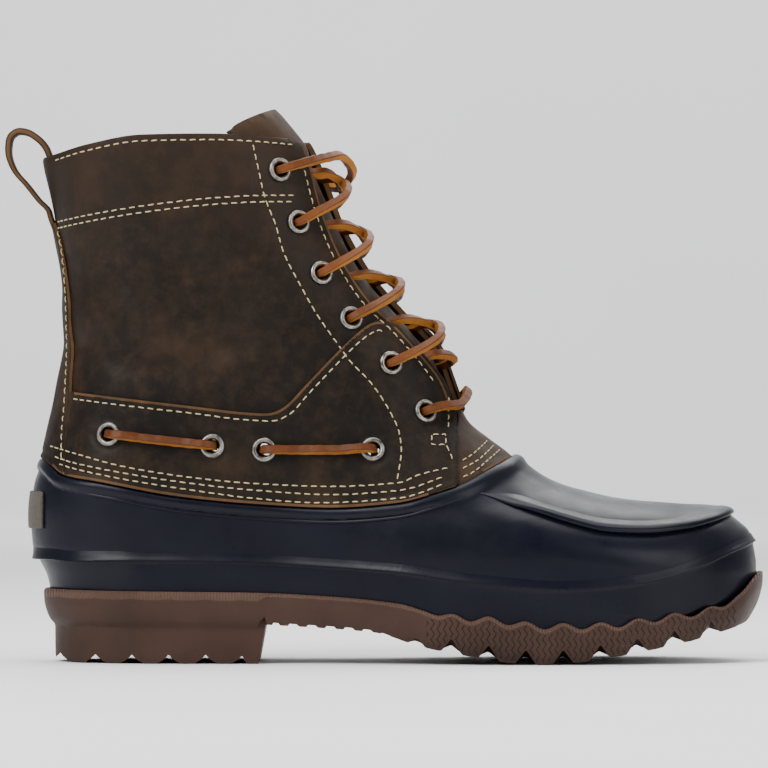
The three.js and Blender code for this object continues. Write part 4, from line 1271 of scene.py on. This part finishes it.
def stitches(name, runs, slot_name):
    """All stitches of several seams as one piece."""
    rng = random.Random(11)
    parts = []
    for run in runs:
        if len(run) < 3:
            continue
        path, normals = resampled(run, SEAM_STEP)
        per, length = int(STITCH_PITCH / SEAM_STEP), int(STITCH / SEAM_STEP)
        for start in range(2, len(path) - length, per):
            lean = rng.uniform(-0.12, 0.12)
            picks = np.linspace(start, start + length, 6).astype(int)
            along_stitch = path[picks]
            normal = normals[picks]
            rise = np.array([-0.35, 0.16, 0.3, 0.3, 0.16, -0.35])
            middle = along_stitch + normal * rise[:, None]
            middle[:, 2] += lean * np.linspace(-1, 1, 6)
            size = np.array([0.6, 1, 1.05, 1.05, 1, 0.6])
            made, quads, ends = swept(middle, normal, ROUND, np.stack([size, size], 1))
            parts.append((made, quads + ends))
    settle(make_object(name, *merged(parts), [THREAD], None, 80), slot_name)


NEAR_Y_ROW = 3.0  # how far the seam lies beside the inner edge of the throat
for side, word in ((-1, "lateral"), (1, "medial")):
    rows = [COLLAR_ROW, [(x, z - ROW_APART) for x, z in COLLAR_ROW], FACING_ROW, SADDLE_ROW, BACKSTAY_ROW,
            *LOW_ROWS]
    front = 60 if side < 0 else 56
    rows.append([(x, z - ROW_APART) for x, z in COLLAR_SMOOTH if -40 < x < front])
    if side < 0:
        rows += [NEAR_ROW, *TACK_ROWS, VAMP_SEAM]
    runs = [side_run(row, side) for row in rows]
    if side > 0:
        runs.append(front_run([(FAR_EDGE + NEAR_Y_ROW, z) for z in (207, 190, 170, 150, 130, 112)]))
    stitches(f"stitches_{word}", runs, "leather")
stitches("stitches_vamp", [side_run(row, side) for row in VAMP_ROWS for side in (-1, 1)], "apron")


# Raised lines of the rubber: strips carried along a line of the side view, right round the foot
def rounds_toe(row, turn, front_height, ys):
    """Places on the form from the outer side, round the toe, to the inner side."""
    xs = np.arange(row[0, 0], turn, 1.5)
    zs = curve(row[:, 0], row[:, 1], xs)
    outer = [on_side(x, z, -1) for x, z in zip(xs, zs)]
    inner = [on_side(x, z, 1) for x, z in zip(xs, zs)]
    front = []
    for y in ys:
        z = front_height
        for _ in range(4):
            place = on_front(y, z)
            z = 0.5 * z + 0.5 * float(curve(row[:, 0], row[:, 1], place[0].x))
        front.append(on_front(y, z))
    return [*outer, *front, *inner[::-1]]


def evened(places, closed=False):
    """The places with their sharp changes of step and direction taken out."""
    path = np.array([p for p, _ in places], float)
    normals = np.array([n for _, n in places], float)
    s = np.concatenate([[0], np.cumsum(np.linalg.norm(np.diff(path, axis=0), axis=1))])
    at = np.linspace(0, s[-1], int(s[-1] / EVEN_STEP))
    path = np.stack([np.interp(at, s, path[:, k]) for k in range(3)], 1)
    normals = np.stack([np.interp(at, s, normals[:, k]) for k in range(3)], 1)
    for _ in range(EVEN_ROUNDS):
        for values in (path, normals):
            if closed:
                values[:] = 0.25 * np.roll(values, 1, 0) + 0.5 * values + 0.25 * np.roll(values, -1, 0)
            else:
                values[1:-1] = 0.25 * values[:-2] + 0.5 * values[1:-1] + 0.25 * values[2:]
    normals /= np.linalg.norm(normals, axis=1, keepdims=True)
    return path, normals


def from_ends(path):
    """Rough way of each point from the nearer end of an evened path."""
    return np.minimum(np.arange(len(path)), np.arange(len(path))[::-1]) * EVEN_STEP


def rounds_heel(ys, start, height_at):
    """Places on the form behind the heel, at the height that belongs to their x."""
    places = []
    for y in ys:
        z = start
        for _ in range(4):
            point, normal, _, _ = BVH.ray_cast(Vector((-FAR_AWAY, y, z)), Vector((1, 0, 0)))
            z = 0.5 * z + 0.5 * height_at(point.x)
        places.append((point, normal if normal.x < 0 else -normal))
    return places


def toe_lip():
    turn = float(along(0.9))
    ys = TOE_SWING + np.linspace(-0.235, 0.225, 41) * BALL_WIDTH
    path, normals = evened(rounds_toe(TOE_LIP, turn, float(level(0.705)), ys))
    away = from_ends(path)
    rise = 0.1 + 0.9 * smoothstep(0, 30, away)
    spread = 0.15 + 0.85 * smoothstep(0, 16, away)
    profile = [(-6.5, -0.4), (-4.4, 0.5), (-2.4, 1.55), (-1.0, 2.15), (0.3, 2.5), (1.5, 2.6), (2.5, 2.4),
               (3.1, 1.9), (3.25, 1.3), (3.0, 0.8), (2.5, 0.1), (2.3, -0.9), (-3, -1.2)]
    made, quads, ends = swept(path, normals, profile, np.stack([spread, rise], 1))
    return make_object("toe_lip_visual", made, quads + ends, [NAVY], None, 60)


def foot_ridge():
    start = float(along(0.03))
    row = RIDGE[RIDGE[:, 0] > start - 12]
    row = np.concatenate([[[start, through(RIDGE, start)]], RIDGE[RIDGE[:, 0] > start + 1]])
    ys = TOE_SWING + np.linspace(-0.29, 0.28, 61) * BALL_WIDTH
    places = rounds_toe(row, float(along(0.93)), float(level(0.58)), ys)
    heel = rounds_heel(np.linspace(0.215, -0.215, 41) * BALL_WIDTH, float(level(0.55)),
                       lambda x: float(through(row, x)))
    path, normals = evened([*places, *heel, places[0]], True)
    heel_share = 1 - smoothstep(-30, 0, path[:, 0])
    profile = [(-3.2, -0.25), (-2.0, 0.08), (-1.0, 0.42), (-0.3, 0.78), (0.05, 0.85), (0.3, 0.7),
               (0.36, 0.1), (0.3, -0.8), (-2.2, -1.0)]
    size = np.stack([1 + 0.5 * heel_share, 0.9 + 1.6 * heel_share], 1)
    path = path + normals * 0.4 * (1 - heel_share)[:, None]
    made, quads, ends = swept(path, normals, profile, size)
    m = len(profile)
    last = len(made) - m
    join = [[last + k, last + (k + 1) % m, (k + 1) % m, k] for k in range(m)]
    return make_object("foot_ridge_visual", made, quads + join, [NAVY], None, 60)


def bead_edge():
    """Lower edge of the band at the top of the rubber, a fine step."""
    line = smooth_line(RUBBER_TOP)
    xs = np.arange(-26.0, BEAD_EDGE_END, 1.5)
    drop = BEAD_HEIGHT + 1.4

    def height_at(x):
        return float(np.interp(x, line[:, 0], line[:, 1])) - drop

    sides = [[on_side(x, height_at(x), side) for x in xs] for side in (-1, 1)]
    heel = rounds_heel(np.linspace(0.17, -0.17, 31) * BALL_WIDTH, float(level(1.1)), height_at)
    path, normals = evened([*sides[1][::-1], *heel, *sides[0]])
    away = from_ends(path)
    profile = [(-1.8, -0.4), (-1.2, 0.35), (-0.5, 0.62), (-0.1, 0.62), (0.15, 0.4), (0.15, -0.6),
               (-1.2, -0.8)]
    size = smoothstep(0, 10, away)
    turn = np.stack([0.3 + 0.7 * size, 0.2 + 0.8 * size], 1)
    made, quads, ends = swept(path, normals, profile, turn)
    return make_object("bead_edge_visual", made, quads + ends, [NAVY], None, 60)


for strip in (toe_lip(), foot_ridge(), bead_edge()):
    settle(strip, "shell")


# Cut edges of the hide, a narrow light line along the panels
def edge_line(name, rows, side, width=1.05):
    """A thin strip that lies on the skin just inside an edge; each row runs along the edge."""
    parts = []
    for row in rows:
        places = side_run(row, side)
        if len(places) < 4:
            continue
        path, normals = evened(places)
        half = width / 2
        outer = [(half / 2, 0.2), (half, 0.1), (half, -0.25)]
        profile = [(-a, b) for a, b in outer[::-1]] + outer
        made, quads, ends = swept(path, normals, profile)
        parts.append((made, quads + ends))
    settle(make_object(name, *merged(parts), [RAW_EDGE], None, 60), "leather")


for side, word in ((-1, "lateral"), (1, "medial")):
    saddle_edge = [(x, z - 0.45) for x, z in SADDLE_SMOOTH if x > -32.5 and x < (95.5 if side < 0 else 92)]
    foot_edge = [(x, z + 0.75) for x, z in smooth_line(REAR_TOP) if x > -41]
    edges = [saddle_edge, foot_edge]
    if side < 0:
        edges.append([(x - 0.5, z) for x, z in NEAR_SMOOTH[2:-3]])
    edge_line(f"raw_edges_{word}", edges, side)
edge_line("raw_edges_vamp", [[(x, z + 0.8) for x, z in smooth_line(FRONT_TOP) if x < 146]], -1)


# Rings
def ring_profile():
    middle = (EYELET_BORE + EYELET_RADIUS) / 2
    half = (EYELET_RADIUS - EYELET_BORE) / 2
    arc = [(middle + half * math.cos(a), 0.25 + 1.05 * math.sin(a)) for a in np.linspace(0, math.pi, 9)]
    inner = [(EYELET_BORE, -4.5), (EYELET_BORE + 0.6, -4.5), (EYELET_BORE + 0.6, -0.1), (EYELET_RADIUS, -0.1)]
    return arc + inner


def skin_lift(seat):
    """How far the leather round a seat stands out of the form."""
    lifts = []
    for dx, dz in ((6, 0), (-6, 0), (0, 6), (0, -6)):
        x, z, side = seat["x"] + dx, seat["z"] + dz, seat["side"]
        place, form = skin_side(x, z, side), on_side(x, z, side)
        if place and form:
            lifts.append((place[0] - form[0]).dot(form[1]))
    return sorted(lifts)[len(lifts) // 2]


def rings():
    profile = ring_profile()
    for seat in SEATS:
        reach = Vector(seat["normal"])
        centre = seat["point"] + reach * (skin_lift(seat) + 0.15)
        seat["top"] = centre
        turn = Vector((0, 0, 1)).rotation_difference(reach).to_matrix()
        count = 40
        points = [centre + turn @ Vector((r * math.cos(a), r * math.sin(a), h))
                  for a in np.linspace(0, 2 * math.pi, count + 1)[:-1] for r, h in profile]
        m = len(profile)
        faces = []
        for i in range(count):
            one, two = i * m, (i + 1) % count * m
            faces += [[one + j, two + j, two + (j + 1) % m, one + (j + 1) % m] for j in range(m)]
        made = make_object(seat["name"] + "_visual", points, faces, [SILVER], None, 50)
        settle(made, "eyelets", seat["name"])


rings()


# Laces
CORD_HALF = LACE_WIDTH / 2


def cord_profile():
    flat, bevel = CORD_HALF, CORD_HALF * 0.78
    return [(flat, -bevel), (flat, bevel), (bevel, flat), (-bevel, flat), (-flat, bevel), (-flat, -bevel),
            (-bevel, -flat), (bevel, -flat)]


CUT_SIDES = (0, 4)  # faces of the profile that show the cut edge of the hide


def spline(knots, step=0.8):
    knots = np.asarray(knots, float)
    s = np.concatenate([[0], np.cumsum(np.linalg.norm(np.diff(knots[:, :3], axis=0), axis=1))])
    at = np.linspace(0, s[-1], max(8, int(s[-1] / step)))
    slope = np.gradient(knots, s, axis=0)
    i = np.clip(np.searchsorted(s, at, side="right") - 1, 0, len(s) - 2)
    w = (s[i + 1] - s[i])[:, None]
    t = ((at - s[i]) / w[:, 0])[:, None]
    h = t * t * (3 - 2 * t)
    bend = t * (1 - t) ** 2 * slope[i] - t * t * (1 - t) * slope[i + 1]
    return knots[i] * (1 - h) + knots[i + 1] * h + w * bend


def cord_mesh(knots, turn):
    """Points, faces and materials of one stretch. Knots: x, y, z, normal x, y, z, share of thickness."""
    way = spline(knots)
    n = len(way)
    thick = way[:, 6:7]
    wobble = 1 + 0.03 * np.sin(np.arange(n) * 0.9 + turn * 3)
    scales = np.concatenate([np.maximum(thick, 0.8) * wobble[:, None], thick * wobble[:, None]], 1)
    twist = turn * np.sin(np.linspace(0, math.pi, n) * 0.9)
    points, quads, ends = swept(way[:, :3], way[:, 3:6], cord_profile(), scales, twist)
    kinds = [1 if k % 8 in CUT_SIDES else 0 for k in range(len(quads))]
    return points, quads + ends, kinds + [0] * len(ends)


def cords(node_name, *stretches):
    """One lace piece for a node of the CAD; each stretch is its knots and its twist."""
    meshes = [cord_mesh(knots, turn) for knots, turn in stretches]
    kinds = [kind for mesh in meshes for kind in mesh[2]]
    points, faces = merged([mesh[:2] for mesh in meshes])
    made = make_object(node_name + "_visual", points, faces, [RAWHIDE, RAWHIDE_CUT], kinds, 35)
    settle(made, "laces", node_name)


def seat_of(name):
    return next(seat for seat in SEATS if seat["name"] == name)


def knot(point, normal, thick=1.0):
    return (*point, *normal, thick)


def out_of_ring(seat, toward):
    """From inside the ring's hole over its rim, on the way to another point."""
    top, normal = Vector(seat["top"]), Vector(seat["normal"])
    way = Vector(toward) - top
    way = (way - normal * way.dot(normal)).normalized()
    up = -way
    return [
        knot(top - normal * 5.0 - way * 0.6, up, 0.9), knot(top - normal * 1.5 - way * 0.5, up, 0.9),
        knot(top + normal * 1.3 + way * 0.4, (up + normal).normalized(), 0.95),
        knot(top + normal * 2.75 + way * 3.0, normal), knot(top + normal * 2.7 + way * 6.2, normal),
    ]


def over_front(start, end, low, high, shares):
    """Knots over the front of the shaft; start and end are y and z, the lift swells in the middle."""
    made = []
    for t in shares:
        y, z = (start[k] + (end[k] - start[k]) * t for k in (0, 1))
        point, normal = on_front(y, z)
        lift = low + (high - low) * math.sin(math.pi * t)
        made.append(knot(point + normal * lift, normal))
    return made


def under_edge(edge_y, z, side, dz):
    """Knots that dive under the leather at an edge of the throat; side is +1 for the inner edge."""
    made = []
    for away, lift, thick in ((-4.2, 1.5, 1.0), (-1.6, -1.6, 0.85), (1.4, -3.5, 0.6), (4.5, -3.7, 0.6)):
        y = edge_y + side * away
        point, normal = on_front(y, z + dz * away)
        made.append(knot(point + normal * lift, normal, thick))
    return made


def near_edge_y(z):
    rows = NEAR_EDGE[::-1]
    x = float(curve(rows[:, 1], rows[:, 0], z))
    return on_side(x, z, -1)[0].y


def diagonal(word, row):
    seat = seat_of(f"eyelet_{word}_{row + 1}")
    lateral = word == "lateral"
    z = float(THROAT_EYELETS[row - 1, 1]) - (LACE_WIDTH * 0.6 if lateral else 0)
    edge = FAR_EDGE if lateral else near_edge_y(z)
    side = 1 if lateral else -1
    end = (edge - side * 5.5, z - 1.2)
    begin = (seat["top"].y, seat["top"].z)
    toward = on_front(begin[0] + (end[0] - begin[0]) * 0.4, begin[1] + (end[1] - begin[1]) * 0.4)[0]
    high = 7.4 if lateral else 4.0
    knots = out_of_ring(seat, toward)
    knots += over_front(begin, end, 2.9, high, (0.5, 0.7, 0.86))
    knots += under_edge(edge, z, side, 0.25)
    return knots, (0.7 if lateral else -0.5)


def pull_over(row, heights, lifts):
    """A stretch between the two rings of a row, as heights and lifts at shares of its way."""
    near, farther = seat_of(f"eyelet_lateral_{row + 1}"), seat_of(f"eyelet_medial_{row + 1}")
    middle = []
    for t, dz, lift in zip((0.26, 0.42, 0.58, 0.74), heights, lifts):
        y = near["top"].y + (farther["top"].y - near["top"].y) * t
        z = near["top"].z + (farther["top"].z - near["top"].z) * t + dz
        point, normal = on_front(y, z)
        middle.append(knot(point + normal * lift, normal))
    first = out_of_ring(near, middle[0][:3])
    last = out_of_ring(farther, middle[-1][:3])[::-1]
    return [*first, *middle, *last]


for row in (1, 2, 3, 4):
    cords(f"lace_cross_{row}", diagonal("lateral", row), diagonal("medial", row))
last_z = float(THROAT_EYELETS[4, 1])
near_y = near_edge_y(last_z + LACE_WIDTH)
under = under_edge(near_y, last_z + LACE_WIDTH, -1, 0.0)[::-1]
under += over_front((near_y + 5, last_z + LACE_WIDTH), (FAR_EDGE - 5.5, last_z), 2.4, 3.4, (0.35, 0.7))
under += under_edge(FAR_EDGE, last_z, 1, 0.0)
cords("lace_cross_5", (under, 0.4))
cords("lace_bar_top", (pull_over(0, (3.5, 3.0, -3.5, -8.0), (5.0, 8.5, 10.5, 7.0)), 0.6))
cords("lace_bar_bottom", (pull_over(5, (2.0, 5.5, 7.0, 4.5), (3.2, 3.6, 3.8, 3.4)), 0.5))


def side_cord(word, first):
    a, b = (seat_of(f"side_eyelet_{word}_{n}") for n in (first, first + 1))
    middle = []
    for t in (0.3, 0.5, 0.7):
        x, z = (a[k] + (b[k] - a[k]) * t for k in ("x", "z"))
        point, normal = skin_side(x, z, a["side"])
        middle.append(knot(point + normal * (CORD_HALF + 0.35), normal))
    return [*out_of_ring(a, middle[0][:3]), *middle, *out_of_ring(b, middle[-1][:3])[::-1]]


for word in ("lateral", "medial"):
    for first, where in ((1, "rear"), (3, "front")):
        cords(f"side_lace_{word}_{where}", (side_cord(word, first), 0.35))


# Pull loop and tag
def pull_loop():
    foot = BACKSTAY_EDGE[0, 1] + LOOP_INSIDE
    height = LOOP_SHARE * (float(level(SECTIONS[1, 1])) - foot)
    z = foot + PULL_LOOP[:, 1] * height
    x = np.interp(z, BACK_LINE[:, 0], BACK_LINE[:, 1]) - PULL_LOOP[:, 0] * LOOP_REACH
    tuck = foot - LOOP_TUCK
    x = np.append(x, np.interp(tuck, BACK_LINE[:, 0], BACK_LINE[:, 1]) - 0.4)
    z = np.append(z, tuck)
    knots = np.stack([x, 0 * x, z, *(0 * x for _ in range(3)), 0 * x + 1], 1)
    path = spline(knots, 0.7)[:, :3]
    tangent = np.gradient(path, axis=0)
    normals = np.stack([-tangent[:, 2], 0 * tangent[:, 1], tangent[:, 0]], 1)
    w, t = LOOP_WIDTH / 2, LOOP_THICKNESS / 2
    profile = [(w, -t * 0.5), (w, t * 0.5), (w - 0.5, t), (w - 1.6, t * 0.8), (0, t * 1.05),
               (-w + 1.6, t * 0.8), (-w + 0.5, t), (-w, t * 0.5), (-w, -t * 0.5), (-w + 0.5, -t), (0, -t),
               (w - 0.5, -t)]
    thicker = 1 + 0.35 * smoothstep(0.4 * height, 0.95 * height, path[:, 2] - foot)
    points, quads, ends = swept(path, normals, profile, np.stack([0 * thicker + 1, thicker], 1))
    kinds = [1 if k % 12 in (0, 7) else 0 for k in range(len(quads))] + [1, 1]
    made = make_object("pull_loop_visual", points, quads + ends, [BROWN_LEATHER, RAW_EDGE], kinds, 40)
    settle(made, "leather", "pull_loop")


pull_loop()
middle_z = float(level(0.73))
low_z, high_z, front_x = middle_z - PATCH_HEIGHT / 2, middle_z + PATCH_HEIGHT / 2, along(0.003)
patch = inside(FLAT_VIEW, [(-FAR_AWAY, low_z), (front_x, low_z), (front_x, high_z), (-FAR_AWAY, high_z)])
made = panel("heel_patch_visual", patch, GAP + 0.9, GAP, [TAG], 0.3)
settle(made, "tag", "heel_patch")


# Floor, light and surroundings, in metres and watts
FLOOR_REACH = 5.0
SWEEP_START = 3.7
SWEEP_RADIUS = 0.6
WALL_HEIGHT = 3.0
# name, place, aim, power, width, height
LAMPS = [
    ("key", (-0.7, -1.1, 1.3), (0.1, 0, 0.1), 31, 0.9, 0.9),
    ("fill", (1.3, -1.0, 0.7), (0.1, 0, 0.08), 11, 0.9, 0.9),
    ("top", (0.15, 0.1, 1.7), (0.1, 0, 0.05), 27, 1.4, 1.0),
    ("heel", (-1.15, -1.0, 0.75), (-0.03, -0.03, 0.07), 7, 0.28, 0.34),
    ("backdrop", (0, 2.3, 1.9), (0, 4.2, 0.4), 60, 3.2, 1.0),
    ("rim", (0.5, 0.9, 1.0), (0.1, 0, 0.1), 8, 1.0, 0.5),
]


def studio():
    mesh = bpy.data.meshes.new("floor")
    bend = [(SWEEP_START + SWEEP_RADIUS * math.sin(a), SWEEP_RADIUS - SWEEP_RADIUS * math.cos(a))
            for a in np.linspace(0, math.pi / 2, 24)]
    profile = [(-FLOOR_REACH, 0), *bend, (SWEEP_START + SWEEP_RADIUS, WALL_HEIGHT)]
    points = [(s * FLOOR_REACH, y, z) for y, z in profile for s in (-1, 1)]
    faces = [(2 * i, 2 * i + 1, 2 * i + 3, 2 * i + 2) for i in range(len(profile) - 1)]
    mesh.from_pydata(points, [], faces)
    mesh.shade_smooth()
    floor = bpy.data.objects.new("floor", mesh)
    bpy.context.scene.collection.objects.link(floor)
    material, tree, shader = principled("floor_paper", (0.92, 0.92, 0.92), 0.6)
    tint = ramp(tree, noise(tree, 3, 2), [(0.3, (0.91, 0.91, 0.91)), (0.7, (0.94, 0.94, 0.94))])
    tree.links.new(tint, shader.inputs["Base Color"])
    bumps(tree, shader, [(noise(tree, 120, 3), 0.05, 0.1)])
    mesh.materials.append(material)

    def area(name, location, aim, power, width, height):
        data = bpy.data.lights.new(name, "AREA")
        data.energy = power
        data.shape = "RECTANGLE"
        data.size, data.size_y = width, height
        lamp = bpy.data.objects.new(name, data)
        lamp.location = location
        lamp.rotation_euler = (Vector(aim) - Vector(location)).to_track_quat("-Z", "Y").to_euler()
        bpy.context.scene.collection.objects.link(lamp)

    for lamp in LAMPS:
        area(*lamp)
    world = bpy.data.worlds.new("studio")
    world.use_nodes = True
    background = world.node_tree.nodes["Background"]
    background.inputs["Color"].default_value = (0.95, 0.96, 1.0, 1)
    background.inputs["Strength"].default_value = 0.36
    bpy.context.scene.world = world


studio()
